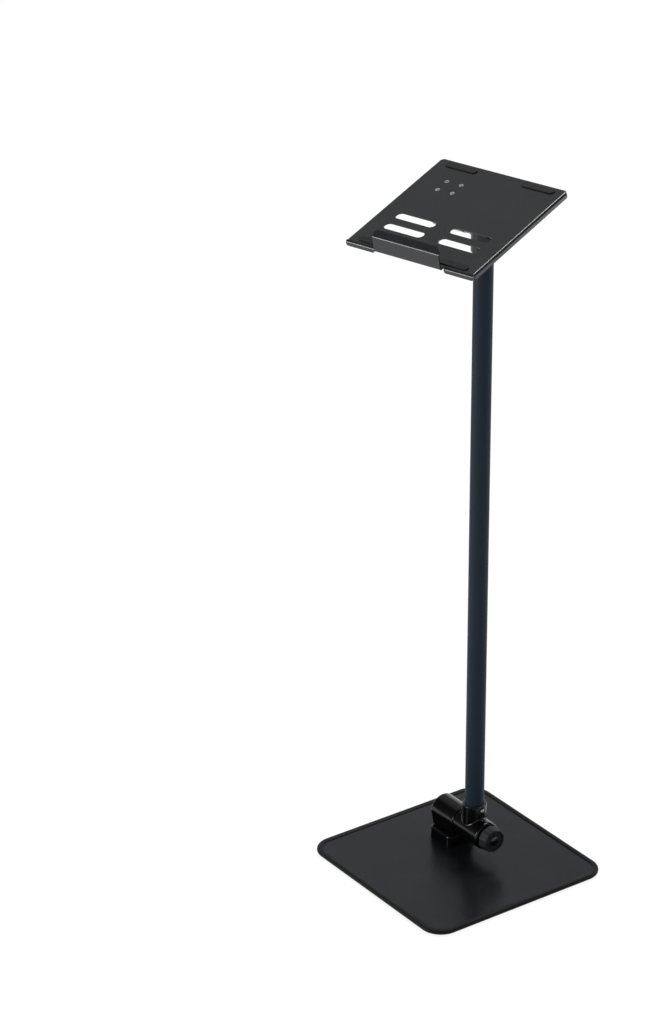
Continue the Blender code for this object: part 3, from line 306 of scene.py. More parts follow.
def skinLoops(name, loops, ring=False):
    bm = bmesh.new()
    rows = [[bm.verts.new(point) for point in loop] for loop in loops]
    following = rows[1:] + rows[:1] if ring else rows[1:]
    count = len(rows[0])
    for low, high in zip(rows, following):
        for i in range(count):
            j = (i + 1) % count
            bm.faces.new((low[i], low[j], high[j], high[i]))
    if not ring:
        bm.faces.new(rows[0])
        bm.faces.new(rows[-1])
    return closeMesh(name, bm)


def arcPoints(center, radius, start, end, steps):
    return [(center[0] + radius * cos(start + (end - start) * i / steps),
             center[1] + radius * sin(start + (end - start) * i / steps)) for i in range(steps + 1)]


def roundedOutline(width, depth, radius, middle=(0, 0), steps=10):
    outline = []
    for quarter, (sx, sy) in enumerate(((1, 1), (-1, 1), (-1, -1), (1, -1))):
        center = (middle[0] + sx * (width / 2 - radius), middle[1] + sy * (depth / 2 - radius))
        outline += arcPoints(center, radius, quarter * pi / 2, (quarter + 1) * pi / 2, steps)
    return outline


def ringLoop(radius, height, steps=48):
    return [(radius * cos(2 * pi * i / steps), radius * sin(2 * pi * i / steps), height)
            for i in range(steps)]


def hexLoop(size, height, steps=48):
    # a hexagon with as many points as a ring has, so that one follows the other
    loop = []
    for i in range(steps):
        angle = 2 * pi * i / steps
        reach = size / cos((angle % (pi / 3)) - pi / 6)
        loop.append((reach * cos(angle), reach * sin(angle), height))
    return loop


def raised(outline, height):
    return [(x, y, height) for x, y in outline]


def domePoints(radius, brim, level, rise, steps=8):
    # a shallow dome's profile, from the brim inwards to the crown
    points = []
    for i in range(steps + 1):
        reach = (radius - brim) * (1 - i / steps)
        points.append((reach, level + rise * (1 - (reach / radius) ** 2)))
    return points


def addObject(name, data):
    item = bpy.data.objects.new(name, data)
    bpy.context.scene.collection.objects.link(item)
    return item


def finalMesh(holder):
    # the mesh with its modifiers applied; the object that held it goes
    bpy.context.view_layer.update()
    graph = bpy.context.evaluated_depsgraph_get()
    mesh = bpy.data.meshes.new_from_object(holder.evaluated_get(graph))
    bpy.data.objects.remove(holder)
    return mesh


def fillOutlines(name, outlines):
    # flat face from outlines, the first with the others as holes
    curve = bpy.data.curves.new(name, "CURVE")
    curve.dimensions = "2D"
    curve.fill_mode = "BACK"
    for outline in outlines:
        spline = curve.splines.new("POLY")
        spline.points.add(len(outline) - 1)
        for point, (x, y) in zip(spline.points, outline):
            point.co = (x, y, 0, 1)
        spline.use_cyclic_u = True
    mesh = finalMesh(addObject(name, curve))
    bm = bmesh.new()
    bm.from_mesh(mesh)
    bpy.data.meshes.remove(mesh)
    return closeMesh(name, bm)


def addPiece(name, mesh, material, matrix, body, stands=(), sharp=40, bevel=0.0):
    mesh.materials.clear()
    mesh.materials.append(materials[material])
    mesh.shade_smooth()
    mesh.set_sharp_from_angle(angle=radians(sharp))
    mesh.transform(matrix)  # the piece's own box is then true in the shared frame
    piece = addObject(name, mesh)
    if bevel:
        step = piece.modifiers.new("bevel", "BEVEL")
        step.width = bevel
        step.segments = 3
        step.limit_method = "ANGLE"
        step.angle_limit = radians(sharp)
        step.use_clamp_overlap = True
    weigh = piece.modifiers.new("weighted normals", "WEIGHTED_NORMAL")
    weigh.keep_sharp = True
    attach(piece, body)
    if stands:
        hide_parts(*stands)
    return piece


def joinShapes(mesh, others, operation):
    # one Boolean after another, applied straight away
    for other in others:
        holder = addObject("whole", mesh)
        tool = addObject("tool", other)
        step = holder.modifiers.new("cut", "BOOLEAN")
        step.operation = operation
        step.solver = "EXACT"
        step.object = tool
        mesh = finalMesh(holder)
        bpy.data.objects.remove(tool)
    return mesh


def turnedTo(mesh, matrix):
    mesh.transform(matrix)
    return mesh


alongX = Matrix.Rotation(pi / 2, 4, "Y")  # a profile turned about Z lies along X
past = 0.001  # how far a cutter reaches past what it cuts
easing = 0.29  # where a small chamfer is rounded, as a share of its width
nick = 0.0003  # chamfer of a turned or moulded edge that has no size of its own


# where the two joints stand; the upper one is the same joint upside down under the tray

trayLay = {"yaw": 15.5, "tilt": 15.3}  # degrees


def lay(joint, lean, turn):
    return Matrix.Translation(joints[joint]["pos_m"]) @ Euler((lean, 0, turn)).to_matrix().to_4x4()


yaw = radians(trayLay["yaw"])
tilt = radians(trayLay["tilt"])
baseFrame = lay("base_tilt", 0, 0)
headFrame = lay("tray_tilt", pi + tilt, yaw)
headTurning = lay("tray_tilt", pi, yaw)
trayFrame = lay("tray_tilt", tilt, yaw)


# base: the rubber edging; the plate and the mat stay as packed

baseSize = {"side": 0.355, "corner": 0.037, "plateBottom": 0.0015, "plateTop": 0.0065,
            "beadTop": 0.0085, "beadWidth": 0.0100, "beadInner": 0.0005, "underLip": 0.0090,
            "channel": 0.0040, "play": 0.0002, "rollSteps": 14, "slopeSteps": 8, "cornerSteps": 16}


def buildEdging():
    # a round bead outside, sloping down to the plate inside, with a channel for the plate's edge
    roll = baseSize["beadTop"] / 2
    width = baseSize["beadWidth"]
    channel = baseSize["channel"]
    underLip = baseSize["underLip"]
    plateTop = baseSize["plateTop"] + baseSize["play"]
    plateBottom = baseSize["plateBottom"] - baseSize["play"]
    foot = baseSize["plateTop"] + baseSize["beadInner"]
    steps = baseSize["slopeSteps"]
    section = arcPoints((-roll, roll), roll, -pi / 2, pi / 2, baseSize["rollSteps"])
    for i in range(1, steps + 1):
        turn = i / steps * pi / 2
        section.append((-roll - (width - roll) * sin(turn), foot + (2 * roll - foot) * cos(turn)))
    section += [(-width, plateTop), (-channel, plateTop), (-channel, plateBottom),
                (-underLip, plateBottom), (-underLip, 0.0)]
    loops = []
    for offset, height in section:
        side = baseSize["side"] + 2 * offset
        outline = roundedOutline(side, side, baseSize["corner"] + offset,
                                 steps=baseSize["cornerSteps"])
        loops.append(raised(outline, height))
    addPiece("rubberEdging", skinLoops("rubberEdging", loops, ring=True), "edgingRubber",
             Matrix.Identity(4), "base", ["base_edge_trim"], sharp=60)


buildEdging()
print("base built")


# pole

poleSize = {"radius": 0.0160, "wall": 0.0015, "rim": 0.0003, "steps": 160}


def buildPole():
    low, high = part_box("pole_tube")
    rim = poleSize["rim"]
    outer = poleSize["radius"]
    inner = outer - poleSize["wall"]
    profile = [(outer - rim, low.z), (outer, low.z + rim), (outer, high.z - rim),
               (outer - rim, high.z), (inner, high.z), (inner, low.z)]
    middle = Matrix.Translation(((low.x + high.x) / 2, (low.y + high.y) / 2, 0))
    addPiece("poleTube", spinProfile("poleTube", profile, poleSize["steps"], ring=True), "poleCoat",
             middle, "pole", ["pole_tube"])


buildPole()
print("pole built")


# joint: foot, housing, end cap, core, screw, knob and cap, in a frame with X along the bolt

jointSize = {
    "height": 0.0455, "footLength": 0.054, "footWidth": 0.056, "footHeight": 0.020,
    "footCorner": 0.007, "footEdge": 0.0030, "footBreak": 0.0004, "footDraft": 0.0008,
    "housingLength": 0.058, "housingRadius": 0.0245, "housingBase": 0.040, "housingEdge": 0.0022,
    "washer": 0.0010, "coreRadius": 0.0240, "coreLeft": 0.0275, "coreRight": 0.0355,
    "coreEdge": 0.0030, "collarRadius": 0.0205, "collarReach": 0.048, "collarRim": 0.0012,
    "fillet": 0.0035, "filletDepth": 0.0012, "filletSink": 0.00003, "socketFloor": 0.0120,
    "poleBore": 0.0163, "boltBore": 0.0043, "capRadius": 0.0125, "capDepth": 0.0035,
    "capDome": 0.0010, "gap": 0.0003,
}
screwSize = {"drop": 0.0065, "radius": 0.0018, "head": 0.0030, "headHeight": 0.0022,
             "socket": 0.0014, "socketDepth": 0.0013, "spotRadius": 0.0037, "spotDepth": 0.0008}
housingRight = -(jointSize["coreLeft"] + 2 * jointSize["gap"] + jointSize["washer"])
housingLeft = housingRight - jointSize["housingLength"]
footMiddle = (housingLeft + housingRight) / 2
footTop = -jointSize["height"] + jointSize["gap"] + jointSize["footHeight"]


def footMesh():
    bottom = -jointSize["height"] + jointSize["gap"]
    edge = jointSize["footEdge"]
    draft = jointSize["footDraft"]
    levels = [(bottom, draft - jointSize["footBreak"]), (bottom + jointSize["footBreak"], draft)]
    levels += [(up, along) for along, up in arcPoints((-edge, footTop - edge), edge, 0, pi / 2, 7)]
    loops = []
    for height, grow in levels:
        outline = roundedOutline(jointSize["footLength"] + 2 * grow,
                                 jointSize["footWidth"] + 2 * grow,
                                 jointSize["footCorner"] + grow, (footMiddle, 0))
        loops.append(raised(outline, height))
    return skinLoops("foot", loops)


def housingOutline(inset):
    radius = jointSize["housingRadius"] - inset
    base = footTop + jointSize["gap"] + inset
    half = jointSize["housingBase"] / 2 - inset
    outline = arcPoints((0, 0), radius, 0, pi, 72)
    return outline + [(-half, base), (half, base)]


def housingMesh():
    edge = jointSize["housingEdge"]
    chamfer = jointSize["coreEdge"] / 4
    levels = [(housingRight, chamfer), (housingRight - chamfer * easing, chamfer * easing),
              (housingRight - chamfer, 0)]
    levels += [(along, edge - inward)
               for along, inward in arcPoints((housingLeft + edge, 0), edge, pi / 2, pi, 8)]
    loops = [[(x, y, z) for y, z in housingOutline(inset)] for x, inset in levels]
    bore = jointSize["capRadius"] + jointSize["gap"]
    deep = housingLeft + jointSize["capDepth"] + jointSize["gap"]
    mouth = housingLeft - 2 * past
    recess = spinProfile("recess", [(0, deep), (bore, deep), (bore, mouth), (0, mouth)], 72)
    return joinShapes(skinLoops("housing", loops), [turnedTo(recess, alongX)], "DIFFERENCE")


def endCapMesh():
    outer = housingLeft
    inner = housingLeft + jointSize["capDepth"]
    radius = jointSize["capRadius"]
    dome = jointSize["capDome"]
    profile = [(0, inner), (radius, inner), (radius, outer + dome * 0.6),
               (radius - 0.0002, outer + dome * 0.2)]
    profile += domePoints(radius, 0.0006, outer, -dome)
    return turnedTo(spinProfile("endCap", profile, 72), alongX)


def filletRing(steps=120, across=10):
    # what a ball leaves when it rolls between the collar and the barrel
    collar = jointSize["collarRadius"] - jointSize["filletSink"]
    barrel = jointSize["coreRadius"] - jointSize["filletSink"]
    ball = jointSize["fillet"]
    deep = jointSize["filletDepth"]
    loops = []
    for i in range(steps):
        angle = 2 * pi * (i + 0.5) / steps
        outward = Vector((cos(angle), sin(angle), 0))
        center = outward * (collar + ball)
        center.z = sqrt((barrel + ball) ** 2 - center.y ** 2)
        toCollar = -outward
        toBarrel = Vector((0, -center.y, -center.z)).normalized()
        swing = acos(toCollar.dot(toBarrel))
        loop = [center + toCollar * (ball + deep)]
        for k in range(across + 1):
            part = swing * k / across
            mixed = (toCollar * sin(swing - part) + toBarrel * sin(part)) / sin(swing)
            loop.append(center + mixed * ball)
        loop.append(center + toBarrel * (ball + deep))
        inner = outward * (collar - deep)
        inner.z = sqrt((barrel - deep) ** 2 - inner.y ** 2) - deep
        loop.append(inner)
        loops.append(loop)
    return skinLoops("fillet", loops, ring=True)


def coreMesh():
    right = jointSize["coreRight"]
    left = -jointSize["coreLeft"]
    edge = jointSize["coreEdge"]
    chamfer = edge / 4
    radius = jointSize["coreRadius"]
    barrel = [(0, right)] + arcPoints((radius - edge, right - edge), edge, pi / 2, 0, 8)
    barrel += [(radius, left + chamfer), (radius - chamfer * easing, left + chamfer * easing),
               (radius - chamfer, left), (0, left)]
    rim = jointSize["collarRim"]
    reach = jointSize["collarReach"]
    ring = jointSize["collarRadius"]
    collar = [(0, reach)] + arcPoints((ring - rim, reach - rim), rim, pi / 2, 0, 6)
    collar += [(ring, radius / 4), (0, radius / 4)]
    bore = jointSize["poleBore"]
    lead = rim / 6
    floor = jointSize["socketFloor"]
    socket = [(0, reach + past), (bore + lead + past, reach + past), (bore, reach - lead),
              (bore, floor), (0, floor)]
    bolt = jointSize["boltBore"]
    far = 0.06
    hole = [(0, far), (bolt, far), (bolt, -far), (0, -far)]  # through the whole barrel
    spot = screwSize["spotRadius"]
    face = ring - screwSize["spotDepth"]
    tap = screwSize["radius"] + jointSize["gap"]
    seat = [(0, ring + 2 * past), (spot + 0.0015, ring + 2 * past), (spot, ring - 0.0001),
            (spot, face), (tap, face), (tap, bore - past), (0, bore - past)]
    screwTurn = Matrix.Translation((0, 0, reach - screwSize["drop"])) @ alongX
    whole = turnedTo(spinProfile("core", barrel, 120), alongX)
    whole = joinShapes(whole, [spinProfile("collar", collar, 120), filletRing()], "UNION")
    return joinShapes(whole, [spinProfile("socket", socket, 120),
                              turnedTo(spinProfile("hole", hole, 48), alongX),
                              turnedTo(spinProfile("seat", seat, 48), screwTurn)], "DIFFERENCE")


def collarScrewMesh(tip):
    # domed head with a hexagon socket; the loops run from the tip to the socket's floor
    shank = screwSize["radius"]
    socket = screwSize["socket"]
    head = screwSize["head"]
    seat = jointSize["collarRadius"] - screwSize["spotDepth"] + jointSize["gap"]
    top = seat + screwSize["headHeight"]
    rim = seat + screwSize["headHeight"] * 0.78
    flat = socket * 1.25
    loops = [ringLoop(shank - nick, tip), ringLoop(shank, tip + nick), ringLoop(shank, seat),
             ringLoop(head, seat), ringLoop(head, rim)]
    for i in range(1, 6):
        turn = i / 6 * pi / 2
        loops.append(ringLoop(flat + (head - flat) * cos(turn), rim + (top - rim) * sin(turn)))
    loops += [ringLoop(socket * 1.22, top), hexLoop(socket, top - 0.0001),
              hexLoop(socket, top - screwSize["socketDepth"])]
    turn = Matrix.Translation((0, 0, jointSize["collarReach"] - screwSize["drop"])) @ alongX
    return turnedTo(skinLoops("screw", loops), turn)


knobSize = {"radius": 0.0200, "skirt": 0.0020, "length": 0.0185, "lobes": 10, "lobeDepth": 0.0008,
            "edge": 0.0012, "rim": 0.0032, "recess": 0.0022, "rib": 0.0013, "hub": 0.0092,
            "bore": 0.0050, "neck": 0.0165, "neckLength": 0.0030, "cap": 0.0080, "capSeat": 0.0016,
            "capDome": 0.0013, "start": 0.0376, "pointsPerLobe": 12}
knobEnd = knobSize["start"] + knobSize["length"]
knobFloor = knobEnd - knobSize["recess"]


def knobLoop(radius, height, wave, ribs=0.0):
    # one round of the knob: its flutes go in by wave, and its floor's ribs rise under the lobes
    count = knobSize["lobes"] * knobSize["pointsPerLobe"]
    loop = []
    for i in range(count):
        angle = 2 * pi * i / count
        lobe = (1 + cos(knobSize["lobes"] * angle)) / 2
        reach = radius - wave * (1 - lobe ** 0.75)
        rise = ribs * max(0.0, min(1.0, (lobe - 0.80) / 0.14))
        loop.append((reach * cos(angle), reach * sin(angle), height + rise))
    return loop


def knobMesh():
    edge = knobSize["edge"]
    outer = knobSize["radius"]
    wide = outer + knobSize["skirt"]
    depth = knobSize["lobeDepth"]
    start = knobSize["start"]
    shoulder = start + knobSize["neckLength"]
    inner = outer - knobSize["rim"]
    neck = knobSize["neck"]
    hub = knobSize["hub"]
    rib = knobSize["rib"]
    bore = knobSize["bore"]
    seat = knobSize["cap"] + jointSize["gap"]
    loops = [(bore, start, 0), (neck - 0.0004, start, 0), (neck, start + 0.0004, 0),
             (neck + 0.0002, start + knobSize["neckLength"] * 0.7, 0)]
    loops += [(along, up, depth * 0.8) for along, up in arcPoints(
        (wide - edge / 2, shoulder + edge / 2), edge / 2, -pi / 2, 0, 4)]
    loops += [(wide, shoulder + edge, depth), (outer, knobEnd - edge - 0.002, depth)]
    loops += [(along, up, depth) for along, up in arcPoints(
        (outer - edge, knobEnd - edge), edge, 0, pi / 2, 6)]
    loops += [(inner + 0.0004, knobEnd, 0), (inner, knobEnd - nick, 0),
              (inner - edge * 0.35, knobFloor + nick, 0), (inner - edge * 0.6, knobFloor, 0),
              (inner - edge, knobFloor, 0, rib * 0.5), (inner - edge * 1.3, knobFloor, 0, rib),
              (hub + edge * 0.8, knobFloor, 0, rib), (hub + edge * 0.3, knobFloor, 0, rib),
              (hub, knobFloor + rib * 0.7, 0), (hub - nick, knobFloor + rib, 0),
              (seat, knobFloor + rib, 0), (seat, knobFloor - knobSize["capSeat"], 0),
              (bore, knobFloor - knobSize["capSeat"], 0)]
    return turnedTo(skinLoops("knob", [knobLoop(*loop) for loop in loops], ring=True), alongX)


def knobCapMesh():
    radius = knobSize["cap"]
    low = knobFloor - knobSize["capSeat"] + jointSize["gap"]
    high = knobFloor + knobSize["rib"]
    profile = [(0, low), (radius, low), (radius, high - nick)]
    profile += domePoints(radius, 0.0002, high, knobSize["capDome"])
    return turnedTo(spinProfile("knobCap", profile, 72), alongX)


def buildJoint(prefix, fixed, turning, bodies, screwTip):
    still, moving, knob = bodies
    parts = (("Foot", "_foot", footMesh(), "hingePlastic", fixed, still, "hinge_black"),
             ("Housing", "_housing", housingMesh(), "hingePlastic", fixed, still, "hinge_black"),
             ("EndCap", "_end_cap", endCapMesh(), "capPlastic", fixed, still, "plug_black"),
             ("Core", "_core", coreMesh(), "hingePlastic", turning, moving, "hinge_black"),
             ("CollarScrew", "_collar_screw", collarScrewMesh(screwTip), "zincSteel", turning,
              moving, "zinc_steel"),
             ("Knob", "_knob", knobMesh(), "knobRubber", fixed, knob, "knob_black"),
             ("KnobCap", "_knob_cap", knobCapMesh(), "capPlastic", fixed, knob, "plug_black"))
    for name, node, mesh, finish, place, body, slot in parts:
        piece = addPiece(prefix + name, mesh, finish, place, body, [prefix + node],
                         sharp=55 if name == "Knob" else 40)
        if name != "Core":
            continue
        piece.data.materials.append(materials["collarTopPaintedLight"])  # satin top face round the tube, its lighter bluer colour painted light on an upward face
        # only the flat top annulus of the collar takes the painted-light copy; the rest of the core
        # stays black
        for face in piece.data.polygons:
            if abs((place.inverted() @ face.center).z - jointSize["collarReach"]) < 0.0001:
                face.material_index = 1


buildJoint("base", baseFrame, baseFrame, ("base", "pole", "base_clamp_knob"), 0.0120)
buildJoint("head", headFrame, headTurning, ("tray", "swivel_head", "tray_clamp_knob"), 0.0163)
print("joints built")


# tray: a flat blank, scored, folded and thickened; its frame stands on the upper joint's axis

traySize = {
    "width": 0.242, "front": 0.184, "back": 0.066, "sheet": 0.0020, "bend": 0.0030, "drop": 0.0090,
    "flangeCorner": 0.0035, "flangeInset": 0.0010, "corner": 0.0020, "lipWidth": 0.125,
    "lipShift": 0.0025, "lipStep": 0.0060, "lipWall": 0.0215, "lipLean": 4.0, "hook": 0.0110,
    "hookRise": 48.0, "lipCorner": 0.0090, "lipCornerSteps": 14,
    "reliefWidth": 0.0035, "reliefDepth": 0.0040, "windowWidth": 0.074, "windowDepth": 0.016,
    "windowPitch": 0.030, "windowRows": 2, "windowFirst": 0.125, "windowSide": 0.052,
    "seat": 0.0455, "bendSteps": 10, "edge": 0.00035,
}
sideBend = traySize["width"] / 2 - traySize["bend"] - traySize["sheet"] / 2
frontBend = traySize["front"] - traySize["bend"] - traySize["sheet"] / 2
backBend = traySize["back"] - traySize["bend"] - traySize["sheet"] / 2
trayTop = traySize["seat"] + traySize["sheet"]
flangeFolds = [(0, traySize["bend"], -pi / 2)]
wallTurn = pi / 2 + radians(traySize["lipLean"])
hookTurn = pi - wallTurn - radians(traySize["hookRise"])
hookStart = traySize["lipStep"] + traySize["bend"] * wallTurn + traySize["lipWall"]
lipFolds = [(traySize["lipStep"], traySize["bend"], wallTurn),
            (hookStart, traySize["bend"], hookTurn)]
flangeLength = (traySize["bend"] * pi / 2 + traySize["drop"] - traySize["sheet"] / 2
                - traySize["bend"])
lipLength = hookStart + traySize["bend"] * hookTurn + traySize["hook"]


def followFolds(distance, folds):
    # how far out and up a walk along the folded strip ends
    out, up, heading, walked = 0.0, 0.0, 0.0, 0.0
    for start, radius, angle in folds:
        straight = min(distance, start) - walked
        if straight > 0:
            out += straight * cos(heading)
            up += straight * sin(heading)
            walked += straight
        arc = min(distance - start, radius * abs(angle))
        if arc <= 0:
            return out, up
        side = 1 if angle > 0 else -1
        turn = arc / radius
        out += radius * side * (sin(heading + side * turn) - sin(heading))
        up += radius * side * (cos(heading) - cos(heading + side * turn))
        heading += side * turn
        walked += arc
    rest = distance - walked
    return out + rest * cos(heading), up + rest * sin(heading)


def foldPoint(point):
    x, y, z = point
    if y < -frontBend:
        onLip = abs(x - traySize["lipShift"]) < traySize["lipWidth"] / 2 + jointSize["gap"]
        out, up = followFolds(-frontBend - y, lipFolds if onLip else flangeFolds)
        return (x, -frontBend - out, up)
    if y > backBend:
        out, up = followFolds(y - backBend, flangeFolds)
        return (x, backBend + out, up)
    if abs(x) > sideBend:
        side = 1 if x > 0 else -1
        out, up = followFolds(abs(x) - sideBend, flangeFolds)
        return (side * (sideBend + out), y, up)
    return (x, y, z)


def tabPoints(start, end, length, corner, steps=8):
    # a tab's outline from the foot of one side round its two corners to the foot of the other
    way = Vector((end[0] - start[0], end[1] - start[1])).normalized()
    out = Vector((way.y, -way.x))
    angle = atan2(out.y, out.x)
    low = Vector(start) + out * (length - corner) + way * corner
    high = Vector(end) + out * (length - corner) - way * corner
    points = [tuple(start)] + arcPoints(low, corner, angle - pi / 2, angle, steps)
    return points + arcPoints(high, corner, angle, angle + pi / 2, steps) + [tuple(end)]


def reliefPoints(left, right):
    radius = (right - left) / 2
    center = ((left + right) / 2, -frontBend + traySize["reliefDepth"] - radius)
    return arcPoints(center, radius, pi, 0, 10)


def trayOutline():
    corner = traySize["corner"]
    left, right = (traySize["lipShift"] + side * traySize["lipWidth"] / 2 for side in (-1, 1))
    inner = traySize["lipWidth"] / 2 + traySize["reliefWidth"]
    end = traySize["width"] / 2 - traySize["flangeInset"]
    side = sideBend - corner
    back = backBend - corner
    front = -frontBend + corner

    def flange(start, finish):
        return tabPoints(start, finish, flangeLength, traySize["flangeCorner"])

    outline = flange((-end, -frontBend), (-inner, -frontBend))
    outline += reliefPoints(-inner, left)
    outline += tabPoints((left, -frontBend), (right, -frontBend), lipLength,
                         traySize["lipCorner"], traySize["lipCornerSteps"])
    outline += reliefPoints(right, inner)
    outline += flange((inner, -frontBend), (end, -frontBend))
    outline.append((sideBend, -frontBend))
    outline += flange((sideBend, front), (sideBend, back))
    outline += arcPoints((side, back), corner, 0, pi / 2, 5)[1:-1]
    outline += flange((side, backBend), (-side, backBend))
    outline += arcPoints((-side, back), corner, pi / 2, pi, 5)[1:-1]
    outline += flange((-sideBend, back), (-sideBend, front))
    outline.append((-sideBend, -frontBend))
    return outline


def scoreSheet(bm, normal, reach):
    # one straight edge across the whole sheet
    bmesh.ops.bisect_plane(bm, geom=bm.verts[:] + bm.edges[:] + bm.faces[:], dist=0.000001,
                           plane_co=(normal[0] * reach, normal[1] * reach, 0),
                           plane_no=(normal[0], normal[1], 0))


def trayMesh():
    rows = [traySize["windowFirst"] - row * traySize["windowPitch"]
            for row in range(traySize["windowRows"])]
    windows = []
    for row in rows:
        for side in (-1, 1):
            middle = (side * traySize["windowSide"], -row)
            windows.append(roundedOutline(traySize["windowWidth"], traySize["windowDepth"],
                                          traySize["windowDepth"] / 2 - 0.0001, middle, 12))
    flat = fillOutlines("tray", [trayOutline()] + windows)
    bm = bmesh.new()
    bm.from_mesh(flat)
    bpy.data.meshes.remove(flat)
    steps = traySize["bendSteps"]
    arc = traySize["bend"] * pi / 2
    for i in range(steps + 1):
        for normal, reach in (((1, 0), sideBend), ((-1, 0), sideBend), ((0, 1), backBend),
                              ((0, -1), frontBend)):
            scoreSheet(bm, normal, reach + arc * i / steps)
    for start, radius, angle in lipFolds:
        for i in range(steps + 1):
            scoreSheet(bm, (0, -1), frontBend + start + radius * angle * i / steps)
    for row in rows:
        scoreSheet(bm, (0, -1), row)
    lines = [frontBend] + rows + [-backBend]
    for front, back in zip(lines, lines[1:]):  # each strip of the flat sheet is one face
        strip = [face for face in bm.faces if back < -face.calc_center_median().y < front
                 and abs(face.calc_center_median().x) < sideBend]
        bmesh.ops.dissolve_faces(bm, faces=strip)
    for vert in bm.verts:
        vert.co = foldPoint(vert.co)
    return closeMesh("tray", bm)


def thickSheet(mesh):
    holder = addObject("sheet", mesh)
    step = holder.modifiers.new("thickness", "SOLIDIFY")
    step.thickness = traySize["sheet"]
    step.offset = 0
    step.use_even_offset = True
    return finalMesh(holder)


trayScrew = {"spacingX": 0.028, "spacingY": 0.024, "head": 0.0038, "headHeight": 0.0018,
             "radius": 0.0020, "socket": 0.00125, "socketDepth": 0.0011, "stop": 0.0110}


def screwPlaces():
    return [(footMiddle + sx * trayScrew["spacingX"] / 2, sy * trayScrew["spacingY"] / 2)
            for sx in (-1, 1) for sy in (-1, 1)]


def buildTray():
    middle = Matrix.Translation((0, 0, traySize["seat"] + traySize["sheet"] / 2))
    gap = jointSize["gap"]
    head = trayScrew["head"] + gap
    shank = trayScrew["radius"] + gap
    far = -3 * traySize["sheet"]
    profile = [(0, past), (head, past), (head, -gap), (shank, -trayScrew["headHeight"] - gap),
               (shank, far), (0, far)]
    cutters = [turnedTo(spinProfile("hole", profile, 40), Matrix.Translation((x, -y, trayTop)))
               for x, y in screwPlaces()]
    sheet = joinShapes(turnedTo(thickSheet(trayMesh()), middle), cutters, "DIFFERENCE")
    addPiece("trayPanel", sheet, "trayCoat", trayFrame, "tray", ["tray_panel"], sharp=40,
             bevel=traySize["edge"])


padSize = {"length": 0.060, "width": 0.012, "thickness": 0.0015, "insetX": 0.048, "insetY": 0.014,
           "edge": 0.0005}


def buildPads():
    across = traySize["width"] / 2 - padSize["insetX"]
    front = -traySize["front"] + padSize["insetY"]
    back = traySize["back"] - padSize["insetY"]
    edge = padSize["edge"]
    low = trayTop + jointSize["gap"]
    top = low + padSize["thickness"]
    for side, x, y in (("front_left", -across, front), ("front_right", across, front),
                       ("rear_left", -across, back), ("rear_right", across, back)):
        levels = [(low, 0.0)] + [(up, edge - along)
                                 for along, up in arcPoints((0, top - edge), edge, 0, pi / 2, 5)]
        loops = []
        for height, inset in levels:
            outline = roundedOutline(padSize["length"] - 2 * inset, padSize["width"] - 2 * inset,
                                     padSize["width"] / 2 - 0.0001 - inset, (x, y), 14)
            loops.append(raised(outline, height))
        addPiece("trayPad_" + side, skinLoops("pad", loops), "padRubber", trayFrame, "tray",
                 ["tray_pad_" + side])


baseScrew = {"head": 0.0060, "headHeight": 0.0033, "radius": 0.0030, "socket": 0.0020,
             "socketDepth": 0.0020, "plate": 0.005}


def countersunkMesh(values, length):
    # head face at Z zero, shank along +Z
    radius = values["radius"]
    head = values["head"]
    socket = values["socket"]
    loops = [ringLoop(radius - nick, length), ringLoop(radius, length - nick),
             ringLoop(radius, values["headHeight"]), ringLoop(head, nick),
             ringLoop(head - 0.0001, 0.0), hexLoop(socket + 0.0001, 0.0),
             hexLoop(socket, 0.0001), hexLoop(socket, values["socketDepth"])]
    return skinLoops("screw", loops)


def buildScrews():
    rows = (("trayScrew_%d", "tray_screw_%d", trayScrew, traySize["sheet"], headFrame, "tray"),
            ("baseScrew_%d", "base_foot_screw_%d", baseScrew, baseScrew["plate"], baseFrame,
             "base"))
    for i, (x, y) in enumerate(screwPlaces(), 1):
        for name, node, values, sheet, frameOfJoint, body in rows:
            outside = jointSize["height"] + sheet
            mesh = countersunkMesh(values, outside - trayScrew["stop"])
            place = frameOfJoint @ Matrix.Translation((x, y, -outside))
            addPiece(name % i, mesh, "zincSteel", place, body, [node % i])


buildTray()
buildPads()
buildScrews()
print("tray built")


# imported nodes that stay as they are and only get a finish

keptNodes = {"base_plate": "plateCoat", "base_mat": "padRubber", "pole_bottom_plug": "capPlastic",
             "pole_top_plug": "capPlastic"}
for prefix in ("base", "head"):
    keptNodes[prefix + "_bolt"] = "zincSteel"
    keptNodes[prefix + "_friction_washer"] = "washerFibre"
    keptNodes[prefix + "_pressure_washer"] = "zincSteel"
    keptNodes[prefix + "_knob_nut"] = "turnedBrass"
for name, finish in keptNodes.items():
    for materialSlot in frame["nodes"][name].material_slots:
        materialSlot.material = materials[finish]
print("finishes given to", len(keptNodes), "packed nodes")


# studio: each part of the surroundings has a direction, and a span over which it fades

studio = {"floor": 60.0, "floorColor": (0.90, 0.90, 0.90, 1), "floorWhite": 0.85,
          "skyWay": (-0.70, 0.54, 0.47), "skySpan": (-0.8, 0.9), "skyFront": 0.22, "skyBack": 1.05,
          "backWay": (-0.79, 0.61, 0.0), "frontWay": (0.79, -0.61, 0.0),
          "wallSpan": (0.15, 0.60), "wallTop": (0.30, 0.57), "frontWall": 0.55,
          "windowWay": (-0.74, 0.20, 0.64), "windowSpan": (0.88, 0.99), "window": 0.35,
          "roomShade": 0.03}
